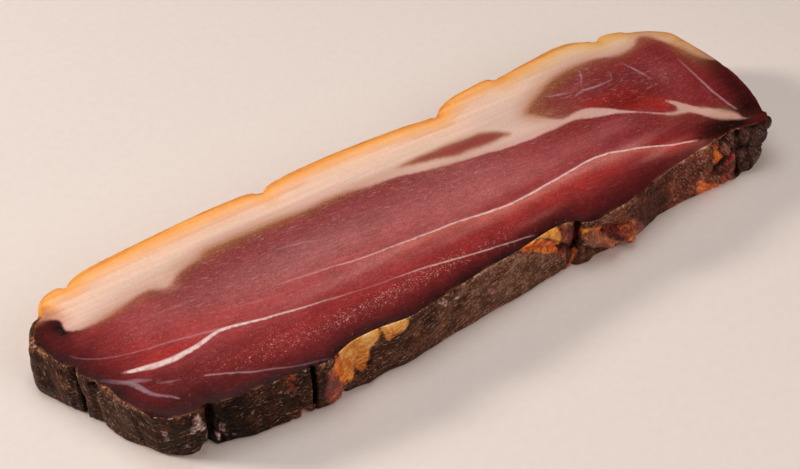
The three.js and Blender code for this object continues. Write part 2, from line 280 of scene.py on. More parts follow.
SEAMS = {
    "seams_long": [
        (MAIN_SEAM, (0.1, 0.12, 0.14, 0.16, 0.2, 0.2, 0.24, 0.22, 0.18),
         (0.1, 0.3, 0.5, 0.65, 0.8, 0.75, 0.8, 0.75, 0.55)),
        (LEFT_VEIN,
         (0.2, 0.95, 0.9, 0.65, 0.42, 0.3, 0.22, 0.18, 0.12, 0.1, 0.1, 0.12, 0.16, 0.16, 0.16,
          0.14, 0.12),
         (0.9, 1.0, 1.0, 1.0, 0.95, 0.85, 0.7, 0.5, 0.25, 0.1, 0.15, 0.35, 0.5, 0.5, 0.45,
          0.35, 0.2)),
    ],
    "seams_short": [
        (HAIRLINE, (0.1, 0.12, 0.3), (0.15, 0.35, 0.5)),
        (LOWER_VEIN, (0.12, 0.22, 0.1, 0.1), (0.6, 0.5, 0.25, 0.1)),
        ([(118.1, 8), (117.6, -2.8), (117.2, -14), (117.9, -24.5)], (0.2, 0.36, 0.3), (0.15, 0.55, 0.5)),
        ([(66, 18.4), (69, 17.2), (72, 16.2), (75, 15)], (0.2, 0.4, 0.2), (0.2, 0.55, 0.1)),
        ([(99.6, 17.7), (101.4, 12), (102.6, 8), (103.4, 4)], (0.15, 0.3, 0.2), (0.1, 0.55, 0.1)),
        ([(83.5, 24), (84.4, 22.4), (82.6, 18.6), (80, 15.5)], (0.15, 0.35, 0.15), (0.1, 0.45, 0.1)),
        ([(-51, 9.7), (-44, 8.3), (-35, 4.8)], (0.1, 0.15, 0.1), (0.15, 0.5, 0.1)),
        ([(-101, 7.9), (-90, 7.1), (-79, 5.5)], (0.1, 0.2, 0.1), (0.1, 0.2, 0.1)),
    ],
    "seams_forked": [
        (FORK, (0.3, 0.6, 0.8, 0.35, 0.2), (0.0, 0.25, 0.55, 0.45, 0.4)),
        ([(74.8, 12.6), (79, 13.4), (84, 12.4), (91.5, 12.1)], (0.2, 0.35, 0.2), (0.3, 0.7, 0.2)),
        ([(-74, -3.5), (-64, -6), (-55, -8.2)], (0.1, 0.2, 0.1), (0.1, 0.2, 0.1)),
        ([(10, 3), (24, 1.5), (36, -1)], (0.1, 0.2, 0.1), (0.1, 0.2, 0.1)),
    ],
    "seams_branch": [
        ([(-116.4, -10.4), (-112.8, -12.1), (-108, -14.6)], (0.5, 0.7, 0.15), (0.1, 0.5, 0.2)),
        ([(-108, -16.2), (-104.5, -18), (-100.4, -19.5)], (0.1, 0.3, 0.1), (0.1, 0.35, 0.1)),
        ([(59, 11.4), (64.5, 11.6)], (0.1, 0.3, 0.1), (0.1, 0.3, 0.1)),
        ([(91, 12.2), (92.6, 14.4), (93, 16.5)], (0.1, 0.25, 0.1), (0.1, 0.3, 0.1)),
    ],
}

# How far from a seam it stops showing, the share of its length over which each end fades, what a
# point far from any seam keeps, and the painted glow of paler meat under the main seam: how far it
# reaches and where along the seam it sets in
SEAM_REACH = (1.6, 2.4)
SEAM_END = 0.02
FAR_OFF = 9.0
NO_SEAM = (FAR_OFF, 0.2, 0.0)
SEAM_GLOW_REACH = 2.4
SEAM_GLOW_STARTS = (0.1, 0.35)

# Soft patches of tone on the lean: centre, half sizes and strength
BROWNED = [
    (-70, 21, 24, 3, 0.75), (-108, 15.5, 8, 2.4, 0.6), (-94, 16.5, 12, 3, 0.5), (-84, 13.5, 6, 3, 0.4),
    (-20, 18.5, 30, 2.2, 0.5), (58, 15, 6, 5, 0.7), (68, 21.5, 9, 3, 0.8), (82, 25, 14, 3.2, 0.8),
    (103, 20.5, 9, 3, 0.6), (116, 23.5, 6, 4, 0.7), (20, 10, 25, 1.4, 0.3), (24, 17.5, 16, 1.6, 0.6),
    (122, 10, 4, 12, 0.6), (98, -15, 6, 3, 0.3), (-126, 25, 4, 1.4, 0.6), (118, -29, 4, 2, 0.3),
    (8, 17.5, 6, 2, 0.5), (-50, 22, 20, 2.5, 0.6), (64, 13, 9, 6.5, 0.7), (80, 20.5, 14, 4.5, 0.5),
    (125, 8, 4, 10, 0.7), (-60, 19.5, 22, 3, 0.4), (-20, 17, 24, 2.5, 0.35), (114, -23.5, 5, 3.5, 0.95),
    (108, -17, 4, 1.6, 0.3), (100, -21.5, 8, 1.4, 0.3),
]
REDDER = [
    (-50, -21, 50, 6, 0.18), (-98, -8, 13, 2.2, 0.8), (97.5, -7, 4, 4, 0.95), (92, 0, 6, 4, 0.4),
    (90, -26.6, 7, 1.8, 0.8), (62, -22, 24, 3, 0.35), (40, -21, 26, 3, 0.3), (-60, -7, 28, 3, 0.25),
    (-88, -3, 16, 4, 0.3), (-72, -13, 14, 3, 0.25), (30, 10.5, 14, 2, 0.6), (-106, -2, 12, 3, 0.2),
    (10, -24, 30, 4, 0.2), (80, 3, 26, 8, 0.15), (66, 0, 26, 4, 0.2), (80, 5.5, 10, 3.4, 0.6),
    (90, -1, 6, 4, 0.7), (100, 18, 10, 3, 0.3), (92, 4, 5, 5, 0.2),
]
# Paler patches are partly paler meat and partly a painted sheen of reflected light on the lean
PALER_AND_SHEEN = [
    (-40, -2, 34, 7, 0.3), (16, -2, 30, 6, 0.3), (60, -17.6, 24, 1.8, 0.6), (70, -19.8, 9, 2, 0.6),
    (20, -18, 30, 2, 0.35), (84, -25.6, 9, 1.6, 0.7), (-20, -12.5, 24, 1.8, 0.45), (20, 8, 22, 3, 0.2),
    (24, -9, 30, 3.4, 0.3), (-85.5, 13.9, 2.4, 1.3, 0.7), (110, 4, 6, 6, 0.15), (72, -7, 14, 3, 0.2),
    (-46, 5, 36, 6, 0.3), (-50, -12, 26, 3, 0.15), (28, -26.5, 10, 1.2, 0.2), (-90, -7, 8, 1.6, 0.3),
    (76, 16, 6, 2, 0.15),
]
DARKER = [
    (-123, 18, 3, 3, 0.45), (-123, 8, 6, 10, 0.3), (-105, -25, 10, 6, 0.5), (-118, -4, 4, 9, 0.15),
    (106, -24.5, 9, 4.5, 0.5), (112, -30.5, 7, 4, 0.8), (123, -20, 6, 12, 0.55), (102, -29, 9, 4, 0.5),
    (-122.4, 18, 1.2, 3.2, 0.6), (-118.5, 17, 2.2, 2.6, 0.6), (127, -6, 4.2, 16, 0.5),
    (121, -26, 9, 6, 0.45), (-124, 21, 4.4, 3.2, 0.5), (-92, -27, 12, 5, 0.45),
    (-88, -17.5, 24, 4, 0.35), (93, 7, 17, 15, 0.3), (60, 1, 20, 6, 0.2), (60, -31, 40, 4, 0.3),
    (88, 0, 18, 5, 0.25), (-106, -14.5, 5, 2.4, 0.35), (0, 8, 40, 6, 0.1), (-65, 11, 30, 8, 0.12),
]
CRYSTALS = [
    (-46, -27, 28, 4.6, 0.9), (-72, -22, 16, 5, 0.75), (-12, -26, 26, 4, 0.8), (35, -2, 24, 8, 0.45),
    (108, 4, 9, 8, 0.75), (-95, -19, 12, 4, 0.4), (-105, 3, 14, 7, 0.35), (90, 12, 20, 8, 0.3),
    (-30, 6, 60, 10, 0.3), (20, -26, 30, 4, 0.35), (80, -10, 24, 5, 0.35),
]

# Patches of the front wall: outline as (place, height), drawn where the wall faces the front by
# at least this share
FACES_FRONT = 0.3
CREAM_FAT = [
    [(-56.5, 23), (-55.6, 16), (-54.6, 11), (-54.2, 6.5), (-52.6, 7.2), (-50, 8.8), (-48, 7), (-46.3, 7.4),
     (-45, 12), (-44.4, 16), (-42, 17.8), (-40.2, 20), (-40.8, 23)],
    [(-39.8, 23), (-38.8, 17.8), (-37.4, 15.7), (-33, 17.5), (-30.3, 20), (-31.5, 23)],
    [(24, 21.4), (26, 23.4), (31, 23.4), (32.6, 20.4), (33.5, 17.4), (32.3, 15.6), (29.5, 17.8), (26.5, 20)],
    [(36.2, 23.6), (38, 23.6), (37.5, 21.8), (36.2, 21.5)],
]
EMBER = [
    [(14, 22.2), (18, 18.6), (23.3, 16), (28.3, 12.8), (31.3, 11.8), (32, 14), (30.8, 16.2), (27, 19.2),
     (23, 21.2), (19, 22.4)],
    [(-57.2, 23), (-58.6, 18), (-57.4, 12), (-55.4, 7), (-54.3, 8), (-55, 14), (-55.8, 19)],
    [(39.5, 18.6), (43, 18.2), (47, 16), (49.3, 13.2), (47.5, 13.4), (43.6, 16.8), (40, 17)],
    [(36.7, 0.4), (37.4, 4), (38.7, 8.8), (39.8, 8.4), (38.6, 4), (37.9, 0)],
    [(101, 20), (102.4, 19.2), (104.6, 12.6), (102.6, 10), (101, 13)],
    [(110.5, 21.4), (112, 23), (117, 23), (116, 21.2)],
    [(93.6, 8), (94.2, 1), (96, -1), (103, -1), (105, 1.5), (101, 3.5), (97.4, 5), (95.4, 8)],
]
AMBER = [
    [(-62.6, 10), (-61.6, 3), (-61, -1), (-54.2, -1), (-54.6, 6), (-57.2, 12), (-58.6, 18), (-60.6, 17)],
    [(32.6, 20.6), (37.2, 20), (37.2, 13), (33.4, 15.4)],
    [(31, 12.4), (35.4, 11), (35.8, 4), (33.8, 7)],
    [(54, 7.4), (58.3, 10.6), (61, 11.2), (63.8, 9.4), (67.8, 4.6), (69.6, -1), (60, -1), (59, 3)],
    [(104, 6), (110, 7.6), (113, 4), (112, -1), (103, -1)],
    [(-73.5, 22.5), (-71.6, 22), (-71.6, 14), (-72.4, 13)],
    [(-71, 3), (-68.6, 5), (-67.2, -0.6), (-71, -0.6)],
]
FLESH = [
    [(40, 15.6), (44.2, 16.6), (47, 13.4), (50, 9.6), (53.8, 7), (57.5, 4.3), (60, 1.6), (56.3, 1.6),
     (50, 3.4), (45.8, 7), (42, 11)],
    [(33, 22), (37.3, 21.8), (37.3, 18), (34.4, 17.6)],
]
# Whitish salt on the wall; the streaks in the crevice near -97 mm are painted glints
PALE_SALT_AND_GLINTS = [
    [(-105.6, 16), (-104.4, 20), (-102.6, 20.6), (-101.4, 17), (-100.4, 13.4), (-101.2, 12), (-103, 15),
     (-105, 13)],
    [(-112.8, 14), (-112, 14.4), (-110.9, 10.6), (-112, 8.6), (-111.9, 10.8)],
    [(-107.8, 6.8), (-106.2, 7), (-106, 5), (-107.6, 5.2)],
    [(-101.2, 8.4), (-100.2, 10), (-100, 1), (-101.4, 1)],
    [(-95.8, 13), (-94.8, 12), (-95.4, 7.4), (-96.4, 8)], [(-97.6, 8), (-96.9, 7.4), (-97.2, 3.2)],
    [(-92.8, 4.4), (-92, 3.6), (-92.6, 2)], [(-55.4, 3.4), (-54.6, 3), (-55, 0.4)],
    [(-18, 20), (-15, 19), (-16, 17.4)], [(-13.4, 19.4), (-9.6, 17), (-12, 17.4)],
]
BLOOD_RED = [
    [(37.2, 22), (39.2, 22.4), (39.2, 12), (38.4, 9.4), (37.2, 11.6), (33, 14.4), (32.4, 13.2), (37, 10.6)],
    [(48, 14.2), (52, 14.2), (57, 12.2), (57.2, 9.8), (54.4, 7.6), (50.8, 10.7)],
    [(101, 7.4), (106, 9), (112.6, 13.4), (112.6, 11.6), (106, 7.6)],
]

# Lightness of the bark along the front wall, as place and tone, and on the two ends
FRONT_BARK_TONE = [
    (-115, 0.2), (-106, 0.1), (-101, -0.1), (-97, -0.4), (-90, -0.4), (-85, 0.05), (-76, 0.15),
    (-70, 0.3), (-61, 0.35), (-52, 0.35), (-40, 0.5), (-25, 0.65), (-6, 0.9), (12, 1.05), (26, 1.0),
    (34, 0.8), (56, 0.75), (67, 0.75), (78, 0.75), (92, 0.95), (102, 1.1), (110, 1.0), (118, 0.6),
    (124, 0.35),
]
LEFT_BARK_TONE = 0.4
RIGHT_BARK_TONE = 0.3

# Where along the slice the fibres of the bark come to stand steeper, and how red it is from place
# to place
STEEP_FIBRES = (60.0, 82.0)
REDDISH_BARK = [(30, 0), (60, 0.6), (92, 1), (103, 0.9), (112, 0.3), (125, 0.1)]

# The rim's orange rind takes over from the bark behind this line across the slice, and at the
# right end it reaches further round
RIND_STARTS = (25.4, 27.4)
RIND_AT_RIGHT = ((96.0, 106.0), (-2.0, 10.0))

# How far in from the crust and the rim the lean and the fat change, and where the fat greys
LEAN_DEPTH = 40.0
FAT_DEPTH = 20.0
FAT_GREYS = (30.0, 105.0)

# The crust starts at the hook of lean at the left end, and ends where the rim turns the corner,
# counted in points of the left and the right edge
HOOK_TIP = 18
RIM_CORNER = 60


def curve_through(points, steps):
    """Evenly spaced points on a centripetal Catmull-Rom curve through the given ones."""
    pts = np.array(points, float)
    pts = np.vstack([2 * pts[0] - pts[1], pts, 2 * pts[-1] - pts[-2]])
    parts = []
    t = np.linspace(0, 1, CURVE_STEPS, endpoint=False)[:, None]
    for p0, p1, p2, p3 in zip(pts, pts[1:], pts[2:], pts[3:]):
        d0, d1, d2 = (math.sqrt(np.linalg.norm(b - a)) for a, b in ((p0, p1), (p1, p2), (p2, p3)))
        start = (p1 - p0) / d0 - (p2 - p0) / (d0 + d1) + (p2 - p1) / d1
        end = (p2 - p1) / d1 - (p3 - p1) / (d1 + d2) + (p3 - p2) / d2
        start, end = start * d1, end * d1
        parts.append(p1 + t * start + t**2 * (3 * (p2 - p1) - 2 * start - end)
                     + t**3 * (2 * (p1 - p2) + start + end))
    line = np.vstack(parts + [pts[-2:-1]])
    length = np.concatenate([[0], np.cumsum(np.linalg.norm(np.diff(line, axis=0), axis=1))])
    even = np.linspace(0, length[-1], steps + 1)
    return np.stack([np.interp(even, length, line[:, k]) for k in (0, 1)], axis=1)


def drawn_edges():
    """The four edges of the cut face, cut as finely as the wall."""
    front = [(x, inside - HALF_WIDTH) for x, inside in FRONT_EDGE]
    right = [(HALF_LENGTH - inside, y) for y, inside in RIGHT_END]
    back = [(x, HALF_WIDTH - inside) for x, inside in BACK_EDGE]
    left = [(inside - HALF_LENGTH, y) for y, inside in LEFT_END]
    along, across = STEPS_ALONG * RIM_SPLIT, STEPS_ACROSS * RIM_SPLIT
    edges = (curve_through(front, along), curve_through(right, across),
             curve_through(back, along), curve_through(left, across))
    open_notches(edges[0], FRONT_NOTCHES, 0)
    open_notches(edges[3], LEFT_NOTCHES, 1)
    return edges


def filled_grid(front, right, back, left):
    """A grid of points between four edges."""
    u = np.linspace(0, 1, len(front))[:, None, None]
    v = np.linspace(0, 1, len(left))[None, :, None]
    long_way = (1 - v) * front[:, None] + v * back[:, None]
    short_way = (1 - u) * left[None] + u * right[None]
    corners = ((1 - u) * (1 - v) * front[0] + u * (1 - v) * front[-1]
               + (1 - u) * v * back[0] + u * v * back[-1])
    return long_way + short_way - corners


def smoothstep(value, low, high):
    """A soft step from 0 to 1 between two values."""
    t = np.clip((value - low) / (high - low), 0, 1)
    return t * t * (3 - 2 * t)


def sum_of_waves(waves, place, side):
    """Height of crossing waves at each place."""
    return sum(height * np.sin(2 * np.pi * (place / along + side / across) + shift)
               for along, across, shift, height in waves)


def face_height(xy, to_front, to_back, to_end):
    """Nearly flat, with slow swells, and falling away near the edges."""
    def fall(distance):
        return (1 - np.clip(distance / ROLL_REACH, 0, 1))**2
    start, stop, fade, depth = BAND_ROLL
    band = smoothstep(xy[..., 0], start, start + fade) * (1 - smoothstep(xy[..., 0], stop - fade, stop))
    return (THICKNESS + sum_of_waves(FACE_SWELLS, xy[..., 0], xy[..., 1])
            - (EDGE_ROLL["front"] + depth * band) * fall(to_front)
            - EDGE_ROLL["back"] * fall(to_back) - EDGE_ROLL["end"] * fall(to_end))


def relief(features, place, height):
    """How far cracks and folds move the wall, in millimetres."""
    total = np.zeros(np.broadcast(place, height).shape)
    for (x0, z0), (x1, z1), reach, depth in features:
        run, rise = x1 - x0, z1 - z0
        t = np.clip(((place - x0) * run + (height - z0) * rise) / (run**2 + rise**2), 0, 1)
        near = 1 - np.clip(np.hypot(place - x0 - t * run, height - z0 - t * rise) / reach, 0, 1)
        total -= depth * near**2 * (3 - 2 * near)
    return total


def side_weights(normal):
    """How much each point of the wall belongs to the front, right, back and left."""
    return {"front": np.clip(-normal[:, 1], 0, None)**2, "right": np.clip(normal[:, 0], 0, None)**2,
            "back": np.clip(normal[:, 1], 0, None)**2, "left": np.clip(-normal[:, 0], 0, None)**2}


def stand_off(rim, normal, height):
    """How far the wall stands out from the cut edge, and how much of that is crack or fold."""
    low = 1 - height / THICKNESS
    below = smoothstep(low, 0, BARK_STARTS)
    features = {"front": FRONT_RELIEF, "right": RIGHT_RELIEF, "back": BACK_RELIEF, "left": LEFT_RELIEF}
    offset = np.zeros(len(rim))
    carved = np.zeros(len(rim))
    for side, weight in side_weights(normal).items():
        place = rim[:, 0] if side in ("front", "back") else rim[:, 1]
        waist, crag = SIDE_SWELL[side]
        cut = relief(features[side], place, height)
        foot = np.interp(place, *zip(*FOOT_LINE[side]))
        plain = foot * low + waist * 4 * low * (1 - low)
        rough = crag * sum_of_waves(BARK_WAVES, place, height) * below * (1 - low**3)
        offset += weight * (plain + rough + cut)
        carved += weight * cut
    return offset, carved


def fine_bark(points, normal):
    """Small crags, longer along the wall than up it."""
    weights = side_weights(normal)
    lengthwise = weights["front"] + weights["back"]
    strength = np.interp(points[:, 0], *zip(*BARK_STRENGTH)) * (1 - weights["back"])
    strength += RIND_STRENGTH * weights["back"]
    long_grain, short_grain = BARK_GRAIN
    heights = np.empty(len(points))
    for i, ((x, y, z), share) in enumerate(zip(points, lengthwise)):
        on_side = noise.fractal(Vector((x / long_grain, y / short_grain, z / short_grain)), *CRAG_OCTAVES)
        on_end = noise.fractal(Vector((x / short_grain, y / long_grain, z / short_grain)), *CRAG_OCTAVES)
        heights[i] = on_side * share + on_end * (1 - share)
    return heights * strength


def clefts(points, normal):
    """Narrow clefts between angular blocks, where the right end has dried hardest."""
    share = smoothstep(points[:, 0], *BLOCKS_START) * (1 - side_weights(normal)["back"])
    share *= 1 - smoothstep(points[:, 1], *BLOCKS_END)
    depth = np.zeros(len(points))
    for i in np.flatnonzero(share > LEAST_CLEFT):
        x, y, z = points[i] / BLOCK_SIZE
        near, _ = noise.voronoi(Vector((x, y, z + BLOCK_SLANT * x)))
        depth[i] = share[i] * math.exp(-(near[1] - near[0]) / CLEFT_WIDTH)
    return CLEFT_DEPTH * depth


def open_notches(line, notches, axis):
    """Draws the edge in where a crack meets the cut face."""
    for at, reach, depth in notches:
        near = 1 - np.clip(np.abs(line[:, axis] - at) / reach, 0, 1)
        line[:, 1 - axis] += depth * near


def split_ring(ring):
    """The front, right, back and left parts of a ring, each with both its corners."""
    along, across = STEPS_ALONG * RIM_SPLIT, STEPS_ACROSS * RIM_SPLIT
    closed = np.concatenate([ring, ring[:1]])
    return (closed[:along + 1], closed[along:along + across + 1],
            closed[along + across:2 * along + across + 1][::-1], closed[2 * along + across:][::-1])


def cell_polygons(index, ring, step):
    """Faces of a grid whose border cells also take the finer points of the ring."""
    front, right, back, left = (
        [list(side[k:k + step + 1]) for k in range(0, len(side) - 1, step)] for side in split_ring(ring))
    columns, rows = index.shape[0] - 1, index.shape[1] - 1
    faces = []
    for i in range(columns):
        for j in range(rows):
            near = front[i] if j == 0 else [index[i, j], index[i + 1, j]]
            east = right[j] if i == columns - 1 else [index[i + 1, j], index[i + 1, j + 1]]
            far = back[i][::-1] if j == rows - 1 else [index[i + 1, j + 1], index[i, j + 1]]
            west = left[j][::-1] if i == 0 else [index[i, j + 1], index[i, j]]
            faces.append(near[:-1] + east[:-1] + far[:-1] + west[:-1])
    return faces


def grow_face(edges):
    """Points of the upper cut face, its index grid, and the ring of rim points round it."""
    front, right, back, left = (edge[::RIM_SPLIT] for edge in edges)
    grid = filled_grid(front, right, back, left)
    to_end = np.minimum(grid[..., 0] - left[None, :, 0], right[None, :, 0] - grid[..., 0])
    height = face_height(grid, grid[..., 1] - front[:, None, 1], back[:, None, 1] - grid[..., 1], to_end)
    points = np.concatenate([grid, height[..., None]], axis=2).reshape(-1, 3)
    index = np.arange(len(points)).reshape(height.shape)
    corners = np.concatenate([index[:-1, 0], index[-1, :-1], index[:0:-1, -1], index[0, :0:-1]])
    rim = np.concatenate([edges[0][:-1], edges[1][:-1], edges[2][:0:-1], edges[3][:0:-1]])
    corner_height = points[corners, 2]
    middle_height = (corner_height + np.roll(corner_height, -1)) / 2
    middles = np.column_stack([rim[1::2], middle_height])
    ring = np.empty(len(rim), int)
    ring[0::2] = corners
    ring[1::2] = len(points) + np.arange(len(middles))
    return np.vstack([points, middles]), index, ring


def wall_depths():
    """How far below the rim each ring of the wall lies: close together at both edges."""
    lower = [THICKNESS - height for height in FOOT_RINGS]
    steps = round((lower[0] - RIM_RINGS[-1]) / WALL_STEP)
    between = np.linspace(RIM_RINGS[-1], lower[0], steps + 1)[1:-1]
    return np.concatenate([RIM_RINGS, between, lower])


def grow_wall(points, ring):
    """Rings of the wall from the rim down to the foot."""
    rim = points[ring]
    along = np.roll(rim[:, :2], -NORMAL_REACH, axis=0) - np.roll(rim[:, :2], NORMAL_REACH, axis=0)
    along /= np.linalg.norm(along, axis=1)[:, None]
    normal = np.column_stack([along[:, 1], -along[:, 0]])
    weights = side_weights(normal)
    radius = BARK_EDGE_RADIUS + (FAT_EDGE_RADIUS - BARK_EDGE_RADIUS) * weights["back"]
    rings, carvings = [], []
    for depth in wall_depths():
        height = rim[:, 2] * (1 - depth / THICKNESS)
        offset, carved = stand_off(rim[:, :2], normal, height)
        offset += radius * np.sqrt(1 - (1 - np.clip(depth / radius, 0, 1))**2)
        spots = np.column_stack([rim[:, :2], height])
        cleft = clefts(spots, normal) * smoothstep(depth, 0, 1)
        offset += fine_bark(spots, normal) * smoothstep(depth, 0, 1) - cleft
        carved -= cleft
        offset -= FOOT_ROUNDING * smoothstep(depth, THICKNESS - FOOT_ROUNDING_HEIGHT, THICKNESS)
        rings.append(np.column_stack([rim[:, :2] + normal * offset[:, None], height]))
        carvings.append(carved)
    return np.array(rings), np.array(carvings), normal


def wall_faces(ring, first, rows):
    """Quads down the wall: from the rim to the first ring, and from each ring to the next."""
    levels = [ring] + [first + row * len(ring) + np.arange(len(ring)) for row in range(rows)]
    quads = [np.column_stack([upper, lower, np.roll(lower, -1), np.roll(upper, -1)])
             for upper, lower in zip(levels, levels[1:])]
    return np.concatenate(quads), levels[-1]


def grow_underside(foot_points, foot, first):
    """A flat grid inside the foot ring: its own points, and its index grid with the foot's."""
    step = RIM_SPLIT * UNDERSIDE_STEP
    grid = filled_grid(*(side[::step] for side in split_ring(foot_points)))
    inner = grid[1:-1, 1:-1].reshape(-1, 3)
    index = np.empty(grid.shape[:2], int)
    index[1:-1, 1:-1] = first + np.arange(len(inner)).reshape(grid.shape[0] - 2, grid.shape[1] - 2)
    front, right, back, left = (side[::step] for side in split_ring(foot))
    index[:, 0], index[-1, :], index[:, -1], index[0, :] = front, right, back, left
    return inner, index


def nearest_on_line(line, xy):
    """Distance to a line, which side of it a point is on, and how far along it."""
    length = np.concatenate([[0], np.cumsum(np.linalg.norm(np.diff(line, axis=0), axis=1))])
    best = np.full(len(xy), np.inf)
    side = np.ones(len(xy))
    share = np.zeros(len(xy))
    for a, b, start, stop in zip(line, line[1:], length, length[1:]):
        run = b - a
        t = np.clip(((xy - a) @ run) / (run @ run), 0, 1)
        gap = xy - a - t[:, None] * run
        distance = np.hypot(gap[:, 0], gap[:, 1])
        closer = distance < best
        best[closer] = distance[closer]
        side[closer] = np.sign(run[0] * gap[closer, 1] - run[1] * gap[closer, 0])
        share[closer] = (start + t[closer] * (stop - start)) / length[-1]
    return best, side, share


def region_depth(outline, xy):
    """How far inside an outline each point is, negative outside."""
    closed = np.array(outline + outline[:1], float)
    distance, _, _ = nearest_on_line(closed, xy)
    inside = np.zeros(len(xy), bool)
    for (x0, y0), (x1, y1) in zip(closed, closed[1:]):
        crosses = (y0 > xy[:, 1]) != (y1 > xy[:, 1])
        reach = x0 + (xy[:, 1] - y0) * (x1 - x0) / (y1 - y0 if y1 != y0 else 1)
        inside ^= crosses & (xy[:, 0] < reach)
    return np.where(inside, distance, -distance)


def smooth_outline(outline):
    """The outline with its corners rounded, as drawn points."""
    count = OUTLINE_STEPS * len(outline)
    return [tuple(p) for p in curve_through(outline + outline[:1], count)[:-1]]


def union_depth(outlines, xy):
    """How far inside the nearest of several outlines each point is."""
    return np.max([region_depth(outline, xy) for outline in outlines], axis=0)


def seam_field(seams, xy):
    """For each point the signed distance to its nearest seam, and that seam's width and show."""
    field = np.tile(NO_SEAM, (len(xy), 1))
    best = np.full(len(xy), FAR_OFF)
    for line, halves, shows in seams:
        curve = curve_through(line, SEAM_STEPS * len(line))
        low, high = curve.min(axis=0) - SEAM_REACH[1], curve.max(axis=0) + SEAM_REACH[1]
        near = np.flatnonzero(np.all((xy > low) & (xy < high), axis=1))
        distance, side, share = nearest_on_line(curve, xy[near])
        closer = distance < best[near]
        rows, distance, side, share = near[closer], distance[closer], side[closer], share[closer]
        best[rows] = distance
        half = np.interp(share, np.linspace(0, 1, len(halves)), halves)
        show = np.interp(share, np.linspace(0, 1, len(shows)), shows)
        ends = smoothstep(share, 0, SEAM_END) * smoothstep(1 - share, 0, SEAM_END)
        show *= ends * (1 - smoothstep(distance, *SEAM_REACH))
        field[rows] = np.column_stack([side * distance, half, show])
    return field


def blots(spots, xy):
    """Soft oval patches, added up to at most one."""
    total = np.zeros(len(xy))
    for x, y, across, up, strength in spots:
        total += strength * np.exp(-((xy[:, 0] - x) / across)**2 - ((xy[:, 1] - y) / up)**2)
    return np.clip(total, 0, 1)


def painted_glow_under_seam(xy):
    """Painted glow of light: paler meat along the lower side of the main seam."""
    distance, side, share = nearest_on_line(curve_through(MAIN_SEAM, MAIN_SEAM_STEPS), xy)
    along = smoothstep(share, *SEAM_GLOW_STARTS)
    return np.where(side < 0, np.exp(-distance / SEAM_GLOW_REACH), 0) * along


def cut_face_fields(xy, edges):
    """What the drawing says about each point of a cut face."""
    front, right, back, left = edges
    main_distance, main_side, _ = nearest_on_line(curve_through(MAIN_TOP, MAIN_TOP_STEPS), xy)
    crust_line = np.vstack([left[::-1][HOOK_TIP:], front, right[:-RIM_CORNER]])
    rim_line = np.vstack([left[-HOOK_TIP:], back, right[:-RIM_CORNER:-1]])
    to_crust, _, _ = nearest_on_line(crust_line[::4], xy)
    to_rim, _, _ = nearest_on_line(rim_line[::2], xy)
    fields = {
        "zones": (-main_side * main_distance, region_depth(smooth_outline(SECOND_MUSCLE), xy),
                  region_depth(smooth_outline(LENS), xy)),
        "edges": (to_crust / LEAN_DEPTH, to_rim / FAT_DEPTH, smoothstep(xy[:, 0], *FAT_GREYS)),
        "tones": (blots(BROWNED, xy), blots(REDDER, xy), blots(PALER_AND_SHEEN, xy)),
        "marks_and_glow": (blots(DARKER, xy), blots(CRYSTALS, xy), painted_glow_under_seam(xy)),
    }
    fields = {name: np.column_stack(parts) for name, parts in fields.items()}
    for name, seams in SEAMS.items():
        fields[name] = seam_field(seams, xy)
    return fields


def wall_fields(rim, normal, height, carved):
    """What the drawing says about each point of the wall."""
    weights = side_weights(normal)
    flat = np.column_stack([rim[:, 0], height])
    facing_front = weights["front"] > FACES_FRONT
    patches = []
    for outlines in (CREAM_FAT, EMBER, AMBER, FLESH, PALE_SALT_AND_GLINTS, BLOOD_RED):
        depth = np.full(len(rim), -FAR_OFF)
        depth[facing_front] = union_depth(outlines, flat[facing_front])
        patches.append(np.clip(depth, -FAR_OFF, FAR_OFF))
    front_tone = np.interp(rim[:, 0], *zip(*FRONT_BARK_TONE))
    tone = (front_tone * weights["front"] + LEFT_BARK_TONE * weights["left"]
            + RIGHT_BARK_TONE * weights["right"])
    rind = smoothstep(rim[:, 1], *RIND_STARTS)
    at_right, past = RIND_AT_RIGHT
    rind = np.maximum(rind, smoothstep(rim[:, 0], *at_right) * smoothstep(rim[:, 1], *past))
    return {
        "bark": np.column_stack([tone, rind, carved]),
        "patches_warm": np.column_stack(patches[:3]),
        "patches_cold": np.column_stack(patches[3:]),
        "bark_lie": np.column_stack([np.maximum(smoothstep(rim[:, 0], *STEEP_FIBRES), weights["left"]),
                                     np.interp(rim[:, 0], *zip(*REDDISH_BARK)), height / THICKNESS]),
    }


def unrolled_wall(rim):
    """Place along the wall and depth below the rim, in millimetres, of each corner of its quads."""
    step = np.linalg.norm(np.roll(rim, -1, axis=0) - rim, axis=1)
    mark = np.concatenate([[0], np.cumsum(step)])
    here, following = mark[:-1].copy(), mark[1:].copy()
    last_side = RIM_SPLIT * (2 * STEPS_ALONG + STEPS_ACROSS)
    here[last_side:] -= mark[-1]
    following[last_side:] -= mark[-1]
    depths = np.concatenate([[0], wall_depths()])
    corners = np.empty((len(depths) - 1, len(rim), 4, 2))
    corners[:, :, 0, 0] = corners[:, :, 1, 0] = here
    corners[:, :, 2, 0] = corners[:, :, 3, 0] = following
    corners[:, :, 0, 1] = corners[:, :, 3, 1] = depths[:-1, None]
    corners[:, :, 1, 1] = corners[:, :, 2, 1] = depths[1:, None]
    return corners


def laid_out(top_xy, wall_corners, under_xy):
    """The surface laid flat on one square sheet: both cut faces, and the wall in strips."""
    shift = np.array([HALF_LENGTH, HALF_WIDTH]) + FACE_MARGIN
    row = 2 * shift[1] + SHEET_GAP
    around = wall_corners.shape[1]
    wall = wall_corners.copy()
    for k in range(WALL_STRIPS):
        part = slice(k * around // WALL_STRIPS, (k + 1) * around // WALL_STRIPS)
        wall[:, part, :, 0] -= wall[:, part, :, 0].min() - SHEET_GAP
        wall[:, part, :, 1] += 2 * row + k * (THICKNESS + SHEET_GAP)
    flat = np.vstack([top_xy + shift, wall.reshape(-1, 2), under_xy * (1, -1) + shift + (0, row)])
    return flat / SHEET_SIZE


